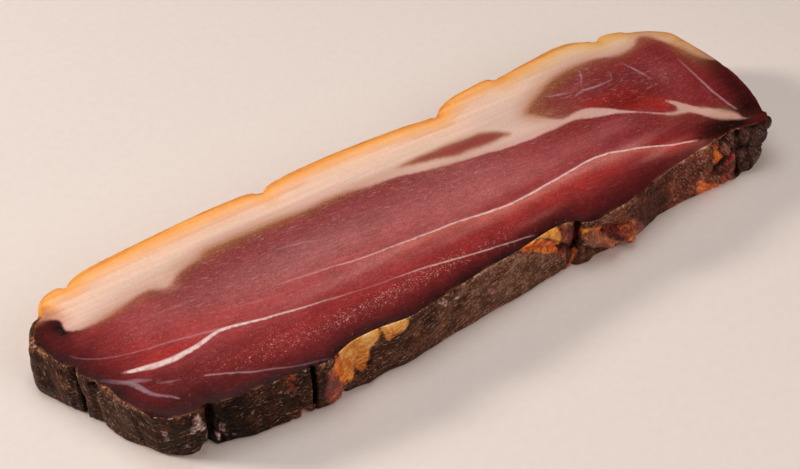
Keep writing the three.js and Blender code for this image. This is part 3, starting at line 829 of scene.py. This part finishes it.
def write_map(mesh, name, values):
    """Keeps a flat layout of the surface on the mesh."""
    layer = mesh.uv_layers.new(name=name)
    layer.data.foreach_set("uv", np.ascontiguousarray(values, dtype=np.float32).ravel())


def build_slice():
    """One closed mesh with everything the drawing says kept on it."""
    edges = drawn_edges()
    points, index, ring = grow_face(edges)
    rings, carved, normal = grow_wall(points, ring)
    quads, foot = wall_faces(ring, len(points), len(rings))
    under, under_index = grow_underside(rings[-1], foot, len(points) + rings[..., 0].size)
    upper_faces = cell_polygons(index, ring, RIM_SPLIT)
    lower_faces = [face[::-1] for face in cell_polygons(under_index, foot, RIM_SPLIT * UNDERSIDE_STEP)]
    vertices = np.vstack([points, rings.reshape(-1, 3), under])

    mesh = bpy.data.meshes.new("bacon")
    placed = (vertices - [*MIDDLE, 0]) * MM
    mesh.from_pydata(placed.tolist(), [], upper_faces + quads.tolist() + lower_faces)
    kinds = np.zeros(len(mesh.polygons), dtype=np.int32)
    kinds[len(upper_faces):len(upper_faces) + len(quads)] = 1
    mesh.polygons.foreach_set("material_index", kinds)
    mesh.shade_smooth()

    rows = len(rings)
    cut = cut_face_fields(np.vstack([points[:, :2], under[:, :2]]), edges)
    for name, values in cut.items():
        on_wall = np.tile(values[ring], (rows, 1))
        keep(mesh, name, np.vstack([values[:len(points)], on_wall, values[len(points):]]))
    rim = points[ring]
    on_ring = wall_fields(rim[:, :2], normal, rim[:, 2], np.zeros(len(ring)))
    on_wall = wall_fields(np.tile(rim[:, :2], (rows, 1)), np.tile(normal, (rows, 1)),
                          rings[..., 2].ravel(), carved.ravel())
    for name, values in on_wall.items():
        whole = np.zeros((len(vertices), 3))
        whole[ring] = on_ring[name]
        whole[len(points):len(points) + len(values)] = values
        keep(mesh, name, whole)

    corners = np.empty(len(mesh.loops), dtype=np.int32)
    mesh.loops.foreach_get("vertex_index", corners)
    upper_count = sum(len(face) for face in upper_faces)
    wall_count = quads.size
    flat = vertices[corners, :2]
    wall_corners = unrolled_wall(rim[:, :2])
    top_xy, under_xy = flat[:upper_count], flat[upper_count + wall_count:]
    write_map(mesh, "OFBake", laid_out(top_xy, wall_corners, under_xy))
    write_map(mesh, "unrolled", np.vstack([top_xy, wall_corners.reshape(-1, 2), under_xy]))

    slice_ = bpy.data.objects.new("bacon", mesh)
    bpy.context.scene.collection.objects.link(slice_)
    return slice_


def keep(mesh, name, values):
    """Keeps three numbers for each point of a mesh."""
    layer = mesh.attributes.new(name, "FLOAT_VECTOR", "POINT")
    layer.data.foreach_set("vector", np.ascontiguousarray(values, dtype=np.float32).ravel())


def linear(code):
    """An sRGB hex value as linear light."""
    parts = [int(code[k:k + 2], 16) / 255 for k in (0, 2, 4)]
    return tuple(p / 12.92 if p <= 0.04045 else ((p + 0.055) / 1.055)**2.4 for p in parts) + (1.0,)


def add(tree, kind, inputs=None, out=0, stops=None, **settings):
    """Adds one node with its settings and links, and gives back the socket that it feeds out."""
    node = tree.nodes.new(kind)
    for name, value in settings.items():
        setattr(node, name, value)
    if stops:
        while len(node.color_ramp.elements) < len(stops):
            node.color_ramp.elements.new(1.0)
        for element, (place, code) in zip(node.color_ramp.elements, stops):
            element.position = place
            element.color = linear(code)
    for key, value in (inputs or {}).items():
        if isinstance(value, bpy.types.NodeSocket):
            tree.links.new(value, node.inputs[key])
        else:
            node.inputs[key].default_value = linear(value) if isinstance(value, str) else value
    return node.outputs[out] if node.outputs else None


def new_finish(name):
    """An empty material and its node tree."""
    finish = bpy.data.materials.new(name)
    finish.use_nodes = True
    finish.node_tree.nodes.clear()
    return finish, finish.node_tree


def kept(tree, name):
    """The three numbers that the mesh keeps under a name."""
    vector = add(tree, "ShaderNodeAttribute", out="Vector", attribute_name=name)
    return add(tree, "ShaderNodeSeparateXYZ", {0: vector}).node.outputs[:3]


def seam_cover(tree, name, wander, broken):
    """How fully the seams of one sheet cover each spot: thin lines that fade into the lean."""
    distance, half, show = kept(tree, name)
    shifted = add(tree, "ShaderNodeMath", {0: distance, 1: wander}, operation="ADD")
    away = add(tree, "ShaderNodeMath", {0: shifted}, operation="ABSOLUTE")
    outer = add(tree, "ShaderNodeMath", {0: half, 1: 1.2, 2: 0.35}, operation="MULTIPLY_ADD")
    inner = add(tree, "ShaderNodeMath", {0: half, 1: 0.5}, operation="MULTIPLY")
    solid = add(tree, "ShaderNodeMapRange",
                {"Value": away, "From Min": inner, "From Max": outer, "To Min": 1.0, "To Max": 0.0},
                interpolation_type="SMOOTHSTEP")
    shown = add(tree, "ShaderNodeMath", {0: show, 1: broken}, operation="MULTIPLY")
    return add(tree, "ShaderNodeMath", {0: solid, 1: shown}, operation="MULTIPLY", use_clamp=True)


def cut_meat():
    """Dry-cured pork, cut with a knife: moist, faintly fibrous lean that lets a little light in,
    and firm fat that lets in more. The lean dries dark towards the crust, and smoke has turned the
    fat orange at the rim."""
    finish, tree = new_finish("cured_lean_and_fat")
    place = add(tree, "ShaderNodeTexCoord", out="Object")
    pore = add(tree, "ShaderNodeTexNoise", {"Vector": place, "Scale": 1 / (0.55 * MM), "Detail": 2.0})
    fine = add(tree, "ShaderNodeTexNoise", {"Vector": place, "Scale": 1 / (1.7 * MM), "Detail": 3.0})
    slow = add(tree, "ShaderNodeTexNoise", {"Vector": place, "Scale": 1 / (7 * MM), "Detail": 3.0})
    broad = add(tree, "ShaderNodeTexNoise", {"Vector": place, "Scale": 1 / (26 * MM), "Detail": 2.0})
    along = add(tree, "ShaderNodeMapping", {
        "Vector": place, "Rotation": (0, 0, math.radians(-6)), "Scale": (9 * MM, 1.1 * MM, 2 * MM)},
        vector_type="TEXTURE")
    fibre = add(tree, "ShaderNodeTexNoise", {"Vector": along, "Scale": 1.0, "Detail": 3.0, "Distortion": 0.4})
    layered = add(tree, "ShaderNodeMapping", {
        "Vector": place, "Rotation": (0, 0, math.radians(-3)), "Scale": (38 * MM, 1.7 * MM, 6 * MM)},
        vector_type="TEXTURE")
    layers = add(tree, "ShaderNodeTexNoise", {"Vector": layered, "Scale": 1.0, "Detail": 3.0})
    wander = add(tree, "ShaderNodeMath", {0: fine, 1: 0.9, 2: -0.45}, operation="MULTIPLY_ADD")
    wander = add(tree, "ShaderNodeMath", {0: slow, 1: 1.6, 2: wander}, operation="MULTIPLY_ADD")
    wander = add(tree, "ShaderNodeMath", {0: wander, 1: 0.8}, operation="SUBTRACT")

    main, second, lens = kept(tree, "zones")
    to_crust, to_rim, greyed = kept(tree, "edges")
    browned, redder, paler_and_sheen = kept(tree, "tones")
    darker, crystals, painted_glow = kept(tree, "marks_and_glow")

    # Lean: the colour follows the distance from the crust, over 40 mm, and is a deeper red towards
    # the right end. Paler patches laid over it are partly paler meat and partly a painted sheen.
    lean_depth = add(tree, "ShaderNodeMath", {0: wander, 1: 0.03, 2: to_crust}, operation="MULTIPLY_ADD")
    lean = add(tree, "ShaderNodeValToRGB", {0: lean_depth}, stops=[
        (0.0, "240a08"), (0.05, "42100e"), (0.11, "5e1917"), (0.22, "7c2524"), (0.38, "8e2f2e"),
        (0.55, "9b3e3d"), (0.75, "a04544"), (1.0, "92403e")])
    deeper = add(tree, "ShaderNodeMath", {0: greyed, 1: 0.58}, operation="MULTIPLY")
    # The glow under the main seam is painted light
    for share, code in ((deeper, "781f22"), (paler_and_sheen, "c07a74"), (painted_glow, "cc705c"), (redder, "ac2a22")):
        lean = add(tree, "ShaderNodeMix", {0: share, 6: lean, 7: code}, out=2, data_type="RGBA")
    in_main = add(tree, "ShaderNodeMath", {0: main, 1: wander}, operation="ADD")
    in_second = add(tree, "ShaderNodeMath", {0: second, 1: wander}, operation="ADD")
    deepest = add(tree, "ShaderNodeMath", {0: in_main, 1: in_second}, operation="MAXIMUM")
    into_lean = add(tree, "ShaderNodeMapRange", {"Value": deepest, "From Min": 0.0, "From Max": 8.0})
    tan = add(tree, "ShaderNodeValToRGB", {0: into_lean}, stops=[
        (0.0, "b07c54"), (0.2, "985a3c"), (0.5, "8a4832"), (1.0, "863c30")])
    lean = add(tree, "ShaderNodeMix", {0: browned, 6: lean, 7: tan}, out=2, data_type="RGBA")
    lean = add(tree, "ShaderNodeMix", {0: darker, 6: lean, 7: "220905"}, out=2, data_type="RGBA")

    # Fat: the colour follows the distance from the rim, over 20 mm
    fat_depth = add(tree, "ShaderNodeMath", {0: wander, 1: 0.04, 2: to_rim}, operation="MULTIPLY_ADD")
    fat_depth = add(tree, "ShaderNodeMath", {0: layers, 1: 0.16, 2: fat_depth}, operation="MULTIPLY_ADD")
    fat_depth = add(tree, "ShaderNodeMath", {0: fat_depth, 1: 0.08}, operation="SUBTRACT")
    fat = add(tree, "ShaderNodeValToRGB", {0: fat_depth}, stops=[
        (0.0, "ec9440"), (0.07, "fba959"), (0.2, "f8b679"), (0.31, "f1b993"), (0.36, "f4c6a6"),
        (0.55, "edc6ad"), (0.8, "e3bfaa")])
    grey_fat = add(tree, "ShaderNodeValToRGB", {0: fat_depth}, stops=[
        (0.0, "dc9244"), (0.1, "e6ad68"), (0.25, "e2ba92"), (0.5, "dab8a2"), (0.9, "ceaa99")])
    fat = add(tree, "ShaderNodeMix", {0: greyed, 6: fat, 7: grey_fat}, out=2, data_type="RGBA")
    by_crust = add(tree, "ShaderNodeMapRange", {"Value": lean_depth, "From Min": 0.16, "From Max": 0.03,
                                                "To Min": 0.0, "To Max": 0.85})
    fat = add(tree, "ShaderNodeMix", {0: by_crust, 6: fat, 7: "a05a28"}, out=2, data_type="RGBA")
    by_lean = add(tree, "ShaderNodeMapRange", {"Value": deepest, "From Min": -5.0, "From Max": 0.0,
                                               "To Min": 0.0, "To Max": 0.7})
    fat = add(tree, "ShaderNodeMix", {0: by_lean, 6: fat, 7: "d0968c"}, out=2, data_type="RGBA")
    tanned = add(tree, "ShaderNodeMath", {0: browned, 1: 0.4}, operation="MULTIPLY")
    fat = add(tree, "ShaderNodeMix", {0: tanned, 6: fat, 7: "b8854e"}, out=2, data_type="RGBA")

    # Streaks: muscle fibres along the lean and growth layers along the fat
    fibre_shade = add(tree, "ShaderNodeMapRange", {"Value": fibre, "From Min": 0.3, "From Max": 0.7,
                                                   "To Min": 0.90, "To Max": 1.10})
    lean = add(tree, "ShaderNodeVectorMath", {0: lean, "Scale": fibre_shade}, operation="SCALE")
    layer_shade = add(tree, "ShaderNodeMapRange", {"Value": layers, "From Min": 0.3, "From Max": 0.7,
                                                   "To Min": 0.93, "To Max": 1.07})
    fat = add(tree, "ShaderNodeVectorMath", {0: fat, "Scale": layer_shade}, operation="SCALE")

    # Lean and fat meet in a soft edge, which is wider where the lean is browned, and the lens of
    # lean lies in the fat
    merging = add(tree, "ShaderNodeMath", {0: browned, 1: 1.1, 2: 0.6}, operation="MULTIPLY_ADD")
    apart = add(tree, "ShaderNodeMath", {0: merging, 1: -1.0}, operation="MULTIPLY")
    lean_cover = add(tree, "ShaderNodeMapRange", {"Value": deepest, "From Min": apart, "From Max": merging},
                     interpolation_type="SMOOTHSTEP")
    in_lens = add(tree, "ShaderNodeMath", {0: lens, 1: wander}, operation="ADD")
    lens_cover = add(tree, "ShaderNodeMapRange", {"Value": in_lens, "From Min": -1.2, "From Max": 1.6},
                     interpolation_type="SMOOTHSTEP")
    lens_lean = add(tree, "ShaderNodeMapRange", {"Value": in_lens, "From Min": 0.0, "From Max": 2.6})
    lens_lean = add(tree, "ShaderNodeValToRGB", {0: lens_lean}, stops=[
        (0.0, "b47450"), (0.4, "a0604a"), (1.0, "96463e")])
    lens_lean = add(tree, "ShaderNodeVectorMath", {0: lens_lean, "Scale": fibre_shade}, operation="SCALE")
    surface = add(tree, "ShaderNodeMix", {0: lens_cover, 6: fat, 7: lens_lean}, out=2, data_type="RGBA")
    surface = add(tree, "ShaderNodeMix", {0: lean_cover, 6: surface, 7: lean}, out=2, data_type="RGBA")

    # Mottling: blotches of 7 and 26 mm, grain of 1.7 mm and pores of half a millimetre, which the
    # fat has less of
    shade = 1.0
    for pattern, swing in ((slow, 0.10), (broad, 0.05), (fine, 0.09), (pore, 0.24)):
        lightness = add(tree, "ShaderNodeMapRange", {"Value": pattern, "From Min": 0.3, "From Max": 0.7,
                                                     "To Min": 1 - swing, "To Max": 1 + swing})
        shade = add(tree, "ShaderNodeMath", {0: lightness, 1: shade}, operation="MULTIPLY")
    fewer = add(tree, "ShaderNodeMapRange", {"Value": lean_cover, "To Min": 0.2, "To Max": 1.0})
    shade = add(tree, "ShaderNodeMix", {0: fewer, 2: 1.0, 3: shade}, data_type="FLOAT")
    surface = add(tree, "ShaderNodeVectorMath", {0: surface, "Scale": shade}, operation="SCALE")

    # Seams lie over the mottled lean, and break up a little
    little = add(tree, "ShaderNodeMath", {0: wander, 1: 0.45}, operation="MULTIPLY")
    broken = add(tree, "ShaderNodeMapRange", {"Value": fine, "From Min": 0.32, "From Max": 0.56,
                                              "To Min": 0.65, "To Max": 1.1})
    for sheet, code in (("seams_long", "ecccc2"), ("seams_short", "bc8c92"), ("seams_forked", "b09098"),
                        ("seams_branch", "b08a90")):
        cover = seam_cover(tree, sheet, little, broken)
        surface = add(tree, "ShaderNodeMix", {0: cover, 6: surface, 7: code}, out=2, data_type="RGBA")

    # Salt specks of half a millimetre in ragged clusters, and short painted glints of light along the fibres
    speck = add(tree, "ShaderNodeTexNoise", {"Vector": place, "Scale": 1 / (0.5 * MM), "Detail": 1.0})
    thick = add(tree, "ShaderNodeMath", {0: crystals, 1: 0.2}, operation="MULTIPLY")
    near_clump = add(tree, "ShaderNodeMath", {0: fine, 1: 0.45, 2: speck}, operation="MULTIPLY_ADD")
    salted = add(tree, "ShaderNodeMath", {0: near_clump, 1: thick}, operation="ADD")
    bright = add(tree, "ShaderNodeMapRange", {"Value": salted, "From Min": 0.995, "From Max": 1.15,
                                              "To Min": 0.0, "To Max": 0.75})
    glint_lie = add(tree, "ShaderNodeMapping", {
        "Vector": place, "Rotation": (0, 0, math.radians(-9)), "Scale": (2.6 * MM, 0.55 * MM, 1 * MM)},
        vector_type="TEXTURE")
    glint = add(tree, "ShaderNodeTexNoise", {"Vector": glint_lie, "Scale": 1.0, "Detail": 2.0, "Distortion": 0.8})
    glinting = add(tree, "ShaderNodeMapRange", {"Value": glint, "From Min": 0.58, "From Max": 0.74,
                                                "To Min": 0.0, "To Max": 0.38})
    glinting = add(tree, "ShaderNodeMath", {0: glinting, 1: lean_cover}, operation="MULTIPLY")
    glinting = add(tree, "ShaderNodeMath", {0: glinting, 1: to_crust}, operation="MULTIPLY", use_clamp=True)
    surface = add(tree, "ShaderNodeMix", {0: glinting, 6: surface, 7: "cc9a96"}, out=2, data_type="RGBA")
    surface = add(tree, "ShaderNodeMix", {0: bright, 6: surface, 7: "d8a496"}, out=2, data_type="RGBA")

    # Brown crumbs along the crust
    crumb = add(tree, "ShaderNodeMapRange", {"Value": lean_depth, "From Min": 0.022, "From Max": 0.006})
    some = add(tree, "ShaderNodeMapRange", {"Value": slow, "From Min": 0.52, "From Max": 0.66,
                                            "To Min": 0.0, "To Max": 0.7})
    crumb = add(tree, "ShaderNodeMath", {0: crumb, 1: some}, operation="MULTIPLY")
    surface = add(tree, "ShaderNodeMix", {0: crumb, 6: surface, 7: "8c5230"}, out=2, data_type="RGBA")

    # Low relief of the cut: the blotches, the grain, the pores and the salt, 0.15 mm high
    height = add(tree, "ShaderNodeMath", {0: slow, 1: 1.5, 2: fine}, operation="MULTIPLY_ADD")
    height = add(tree, "ShaderNodeMath", {0: pore, 1: 0.5, 2: height}, operation="MULTIPLY_ADD")
    height = add(tree, "ShaderNodeMath", {0: bright, 1: 1.2, 2: height}, operation="MULTIPLY_ADD")
    normal = add(tree, "ShaderNodeBump", {"Height": height, "Strength": 0.7, "Distance": 0.15 * MM})
    gloss = add(tree, "ShaderNodeMapRange", {"Value": lean_cover, "To Min": 0.36, "To Max": 0.44})
    shader = add(tree, "ShaderNodeBsdfPrincipled", {
        "Base Color": surface, "Roughness": gloss, "IOR": 1.40, "Normal": normal,
        "Specular IOR Level": 0.16,
        "Subsurface Weight": 0.12, "Subsurface Radius": (1.0, 0.4, 0.25), "Subsurface Scale": 1.2 * MM})
    add(tree, "ShaderNodeOutputMaterial", {"Surface": shader})
    return finish


def patch_cover(tree, depth, wander, soft):
    """How fully a drawn patch of the wall covers each spot, with a ragged edge."""
    inside = add(tree, "ShaderNodeMath", {0: depth, 1: wander}, operation="ADD")
    return add(tree, "ShaderNodeMapRange", {"Value": inside, "From Min": -soft, "From Max": soft},
               interpolation_type="SMOOTHSTEP")


def smoked_bark():
    """The dried and smoked outside: near-black, fibrous bark with paler, drier specks and painted
    glints, cracked open to red flesh, amber and fat in places, with painted shade deep in the cracks,
    and the smooth orange rind of the fat rim."""
    finish, tree = new_finish("smoked_bark_and_rind")
    unrolled = add(tree, "ShaderNodeUVMap", uv_map="unrolled")
    place = add(tree, "ShaderNodeTexCoord", out="Object")
    tone, rind, carved = kept(tree, "bark")
    fat, ember, amber = kept(tree, "patches_warm")
    flesh, salt_and_glints, blood = kept(tree, "patches_cold")
    steep, reddish, up = kept(tree, "bark_lie")

    # Fibres of 5.5 by 0.8 mm lie along the slice, and fibres of 4.5 by 0.9 mm stand steeper on the
    # left end and towards the right one
    lying = add(tree, "ShaderNodeMapping", {"Vector": unrolled, "Rotation": (0, 0, math.radians(-12)),
                                            "Scale": (5.5, 0.8, 1)}, vector_type="TEXTURE")
    steeper = add(tree, "ShaderNodeMapping", {"Vector": unrolled, "Rotation": (0, 0, math.radians(54)),
                                              "Scale": (4.5, 0.9, 1)}, vector_type="TEXTURE")
    lie = add(tree, "ShaderNodeMix", {0: steep, 4: lying, 5: steeper}, out=1, data_type="VECTOR")
    fibre = add(tree, "ShaderNodeTexNoise", {"Vector": lie, "Scale": 1.0, "Detail": 4.0,
                                             "Roughness": 0.55, "Distortion": 0.25})
    fleck = add(tree, "ShaderNodeTexNoise", {"Vector": lie, "Scale": 1.7, "Detail": 2.0, "Distortion": 0.2})
    clump = add(tree, "ShaderNodeTexNoise", {"Vector": place, "Scale": 1 / (5 * MM), "Detail": 4.0})
    crumb = add(tree, "ShaderNodeTexNoise", {"Vector": place, "Scale": 1 / (0.9 * MM), "Detail": 3.0})
    wander = add(tree, "ShaderNodeMath", {0: clump, 1: 2.0, 2: -1.0}, operation="MULTIPLY_ADD")
    wander = add(tree, "ShaderNodeMath", {0: crumb, 1: 1.0, 2: wander}, operation="MULTIPLY_ADD")
    wander = add(tree, "ShaderNodeMath", {0: wander, 1: 0.5}, operation="SUBTRACT")

    # One level of light and dark drives all the colours: 0 in the pits, 1 on the dry specks
    rough = add(tree, "ShaderNodeMath", {0: fibre, 1: 1.0, 2: -0.15}, operation="MULTIPLY_ADD")
    rough = add(tree, "ShaderNodeMath", {0: crumb, 1: 0.9, 2: rough}, operation="MULTIPLY_ADD")
    rough = add(tree, "ShaderNodeMath", {0: clump, 1: 1.3, 2: rough}, operation="MULTIPLY_ADD")
    toned = add(tree, "ShaderNodeMath", {0: tone, 1: 0.55, 2: rough}, operation="MULTIPLY_ADD")
    level = add(tree, "ShaderNodeMapRange", {"Value": toned, "From Min": 1.1, "From Max": 2.35})
    bark = add(tree, "ShaderNodeValToRGB", {0: level}, stops=[
        (0.0, "160700"), (0.25, "2a1308"), (0.5, "482816"), (0.75, "744a34"), (1.0, "a47a62")])
    red_bark = add(tree, "ShaderNodeValToRGB", {0: level}, stops=[
        (0.0, "1a0300"), (0.25, "340e05"), (0.5, "582014"), (0.75, "843e2a"), (1.0, "b07460")])
    reddened = add(tree, "ShaderNodeMath", {0: reddish, 1: clump}, operation="MULTIPLY")
    reddened = add(tree, "ShaderNodeMath", {0: reddened, 1: 1.6}, operation="MULTIPLY", use_clamp=True)
    surface = add(tree, "ShaderNodeMix", {0: reddened, 6: bark, 7: red_bark}, out=2, data_type="RGBA")

    # Dry, dusty flecks along the fibres, which are partly painted glints
    dry_flecks_and_glints = add(tree, "ShaderNodeMapRange", {"Value": fleck, "From Min": 0.58, "From Max": 0.66,
                                           "To Min": 0.0, "To Max": 2.6})
    dusty = add(tree, "ShaderNodeMapRange", {"Value": crumb, "From Min": 0.44, "From Max": 0.62})
    dry_flecks_and_glints = add(tree, "ShaderNodeMath", {0: dry_flecks_and_glints, 1: dusty}, operation="MULTIPLY")
    dry_flecks_and_glints = add(tree, "ShaderNodeMath", {0: dry_flecks_and_glints, 1: level}, operation="MULTIPLY", use_clamp=True)
    surface = add(tree, "ShaderNodeMix", {0: dry_flecks_and_glints, 6: surface, 7: "b09484"}, out=2, data_type="RGBA")

    # A browner margin with crumbs under the cut edge
    margin = add(tree, "ShaderNodeMapRange", {"Value": up, "From Min": 0.89, "From Max": 0.98})
    crumbly = add(tree, "ShaderNodeMapRange", {"Value": crumb, "From Min": 0.38, "From Max": 0.6,
                                               "To Min": 0.15, "To Max": 1.0})
    margin = add(tree, "ShaderNodeMath", {0: margin, 1: crumbly}, operation="MULTIPLY")
    in_places = add(tree, "ShaderNodeMapRange", {"Value": clump, "From Min": 0.44, "From Max": 0.6,
                                                 "To Min": 0.15, "To Max": 0.9})
    margin = add(tree, "ShaderNodeMath", {0: margin, 1: in_places}, operation="MULTIPLY")
    crumbs = add(tree, "ShaderNodeValToRGB", {0: level}, stops=[
        (0.0, "4a1c0a"), (0.4, "7c4228"), (0.6, "b47c5a"), (1.0, "e4bc9c")])
    surface = add(tree, "ShaderNodeMix", {0: margin, 6: surface, 7: crumbs}, out=2, data_type="RGBA")

    # Patches of flesh, amber, fat, ember, blood and salt, each laid over the ones before; some of the
    # salt patches are painted glints. All of them are wet, and the fat is lightest near the cut edge.
    patch_level = add(tree, "ShaderNodeMapRange", {"Value": rough, "From Min": 1.0, "From Max": 1.9})
    raised = add(tree, "ShaderNodeMath", {0: up, 1: 0.5, 2: -0.3}, operation="MULTIPLY_ADD")
    fat_level = add(tree, "ShaderNodeMath", {0: patch_level, 1: raised}, operation="ADD")
    patches = (
        (flesh, 0.9, patch_level, [(0.0, "64200a"), (0.4, "ac562c"), (0.75, "d08858"), (1.0, "f4c8a0")]),
        (amber, 1.0, patch_level, [(0.0, "300600"), (0.35, "701802"), (0.65, "a83c0c"), (1.0, "ec9448")]),
        (fat, 0.7, fat_level, [(0.0, "742400"), (0.3, "cc6004"), (0.6, "f09c30"), (1.0, "fcc87c")]),
        (ember, 0.5, patch_level, [(0.0, "8c2000"), (0.35, "d04800"), (0.65, "f47c04"), (1.0, "fcc450")]),
        (blood, 0.5, patch_level, [(0.0, "2c0200"), (0.45, "740800"), (0.8, "a81804"), (1.0, "d85030")]),
        (salt_and_glints, 0.4, patch_level, [(0.0, "2a120a"), (0.5, "5c3a30"), (0.7, "c09c90"), (1.0, "f8e8e0")]),
    )
    wet = 0.0
    for depth, soft, driver, stops in patches:
        cover = patch_cover(tree, depth, wander, soft)
        colours = add(tree, "ShaderNodeValToRGB", {0: driver}, stops=stops)
        surface = add(tree, "ShaderNodeMix", {0: cover, 6: surface, 7: colours}, out=2, data_type="RGBA")
        wet = add(tree, "ShaderNodeMath", {0: cover, 1: wet}, operation="MAXIMUM")

    # The blocks of the right end are dried to a shiny, purplish black
    where = add(tree, "ShaderNodeSeparateXYZ", {0: place})
    block = add(tree, "ShaderNodeMapRange", {"Value": where, "From Min": BLACKENED[0] * MM,
                                             "From Max": BLACKENED[1] * MM, "To Min": 0.0, "To Max": 0.5})
    uncovered = add(tree, "ShaderNodeMath", {0: 1.0, 1: wet}, operation="SUBTRACT")
    blackened = add(tree, "ShaderNodeMath", {0: block, 1: uncovered}, operation="MULTIPLY")
    surface = add(tree, "ShaderNodeMix", {0: blackened, 6: surface, 7: "1c0a0a"}, out=2, data_type="RGBA")
    wetter = add(tree, "ShaderNodeMapRange", {"Value": clump, "From Min": 0.42, "From Max": 0.6})
    wetter = add(tree, "ShaderNodeMath", {0: wetter, 1: block}, operation="MULTIPLY")
    glossy = add(tree, "ShaderNodeMath", {0: wetter, 1: wet}, operation="MAXIMUM")
    glossy = add(tree, "ShaderNodeMath", {0: glossy, 1: 0.8}, operation="MULTIPLY")

    # Rind of the rim: smooth and orange, with a few darker smears
    rind_level = add(tree, "ShaderNodeMapRange", {"Value": clump, "From Min": 0.3, "From Max": 0.7})
    smoked_rind = add(tree, "ShaderNodeValToRGB", {0: rind_level}, stops=[
        (0.0, "c8742a"), (0.5, "dc8e3c"), (1.0, "eca856")])
    surface = add(tree, "ShaderNodeMix", {0: rind, 6: surface, 7: smoked_rind}, out=2, data_type="RGBA")

    # Painted shade in the cracks: they are darker the deeper they are, and less so where they are wet
    depth = add(tree, "ShaderNodeMapRange", {"Value": carved, "From Min": -1.9, "From Max": -0.3,
                                             "To Min": 0.12, "To Max": 1.0})
    lit = add(tree, "ShaderNodeMath", {0: wet, 1: 0.72}, operation="MULTIPLY")
    depth = add(tree, "ShaderNodeMix", {0: lit, 2: depth, 3: 1.0}, data_type="FLOAT")
    surface = add(tree, "ShaderNodeVectorMath", {0: surface, "Scale": depth}, operation="SCALE")

    # Relief of the fibres and crumbs, half a millimetre high and flatter on the rind
    height = add(tree, "ShaderNodeMath", {0: fibre, 1: 1.4, 2: fleck}, operation="MULTIPLY_ADD")
    height = add(tree, "ShaderNodeMath", {0: crumb, 1: 0.35, 2: height}, operation="MULTIPLY_ADD")
    smooth = add(tree, "ShaderNodeMapRange", {"Value": rind, "To Min": 0.9, "To Max": 0.15})
    normal = add(tree, "ShaderNodeBump", {"Height": height, "Strength": smooth, "Distance": 0.5 * MM})
    # Where it is wet, small wrinkles of 0.9 mm catch the light
    wrinkled = add(tree, "ShaderNodeBump", {"Height": crumb, "Strength": 1.0, "Distance": 1.1 * MM})
    # Duller and shinier places of about 5 mm
    shine = add(tree, "ShaderNodeMapRange", {"Value": clump, "From Min": 0.35, "From Max": 0.65,
                                             "To Min": 0.35, "To Max": 0.65})
    shader = add(tree, "ShaderNodeBsdfPrincipled", {
        "Base Color": surface, "Roughness": shine, "IOR": 1.45, "Normal": normal,
        "Specular IOR Level": 0.08, "Coat Weight": glossy, "Coat Roughness": 0.1, "Coat IOR": 1.5,
        "Coat Normal": wrinkled})
    add(tree, "ShaderNodeOutputMaterial", {"Surface": shader})
    return finish


def studio_floor():
    """Matt painted board, pale and warm."""
    finish, tree = new_finish("matt_painted_board")
    place = add(tree, "ShaderNodeTexCoord", out="Object")
    grain = add(tree, "ShaderNodeTexNoise", {"Vector": place, "Scale": 1 / (3 * MM), "Detail": 2.0})
    paint = add(tree, "ShaderNodeValToRGB", {0: grain}, stops=[(0.3, "e8dacd"), (0.7, "ebddd1")])
    shader = add(tree, "ShaderNodeBsdfPrincipled", {"Base Color": paint, "Roughness": 0.8})
    add(tree, "ShaderNodeOutputMaterial", {"Surface": shader})
    mesh = bpy.data.meshes.new("floor")
    reach, low = FLOOR_REACH, -FLOOR_GAP
    mesh.from_pydata([(-reach, -reach, low), (reach, -reach, low), (reach, reach, low), (-reach, reach, low)],
                     [], [(0, 1, 2, 3)])
    mesh.materials.append(finish)
    floor = bpy.data.objects.new("floor", mesh)
    bpy.context.scene.collection.objects.link(floor)


def soft_box(name, toward, elevation, distance, size, power, tint):
    """A square light aimed at the middle of the slice, with its distance and size in metres and its
    power in watts."""
    lamp = bpy.data.lights.new(name, "AREA")
    lamp.shape = "SQUARE"
    lamp.size = size
    lamp.energy = power
    lamp.color = linear(tint)[:3]
    flat = Vector((*toward, 0)).normalized()
    way = flat * math.cos(elevation) + Vector((0, 0, math.sin(elevation)))
    light = bpy.data.objects.new(name, lamp)
    light.location = way * distance
    light.rotation_euler = way.to_track_quat("Z", "Y").to_euler()
    bpy.context.scene.collection.objects.link(light)


def studio_light():
    """A small warm light from behind on the left, and wide soft ones from the front and overhead."""
    world = bpy.data.worlds.new("studio")
    world.use_nodes = True
    sky = world.node_tree.nodes["Background"]
    sky.inputs["Color"].default_value = linear(SKY_TINT)
    sky.inputs["Strength"].default_value = SKY_STRENGTH
    bpy.context.scene.world = world
    soft_box("key_light", toward=(-0.80, 0.60), elevation=math.radians(26),
             distance=1.3, size=0.23, power=12.6, tint="fff7f4")
    soft_box("front_light", toward=(0.3, -0.95), elevation=math.radians(45),
             distance=0.85, size=0.6, power=2.95, tint="ffefed")
    soft_box("top_light", toward=(-0.3, 0.3), elevation=math.radians(80),
             distance=0.85, size=0.5, power=3.3, tint="f0f8ff")
    bpy.context.scene.view_settings.view_transform = "Standard"


def photo_camera():
    """The photograph's viewing angle, with a 72 mm lens on a 36 mm wide frame."""
    data = bpy.data.cameras.new("camera")
    data.lens = FOCAL_LENGTH
    data.sensor_width = FRAME_WIDTH
    camera = bpy.data.objects.new("camera", data)
    camera.location = Vector(CAMERA_PLACE) * MM
    camera.rotation_euler = Vector(CAMERA_LOOKS).to_track_quat("-Z", "Y").to_euler()
    bpy.context.scene.collection.objects.link(camera)
    bpy.context.scene.camera = camera


bacon = build_slice()
bacon.data.materials.append(cut_meat())
bacon.data.materials.append(smoked_bark())
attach(bacon, "root")
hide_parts("bacon_slice")

studio_floor()
studio_light()
photo_camera()
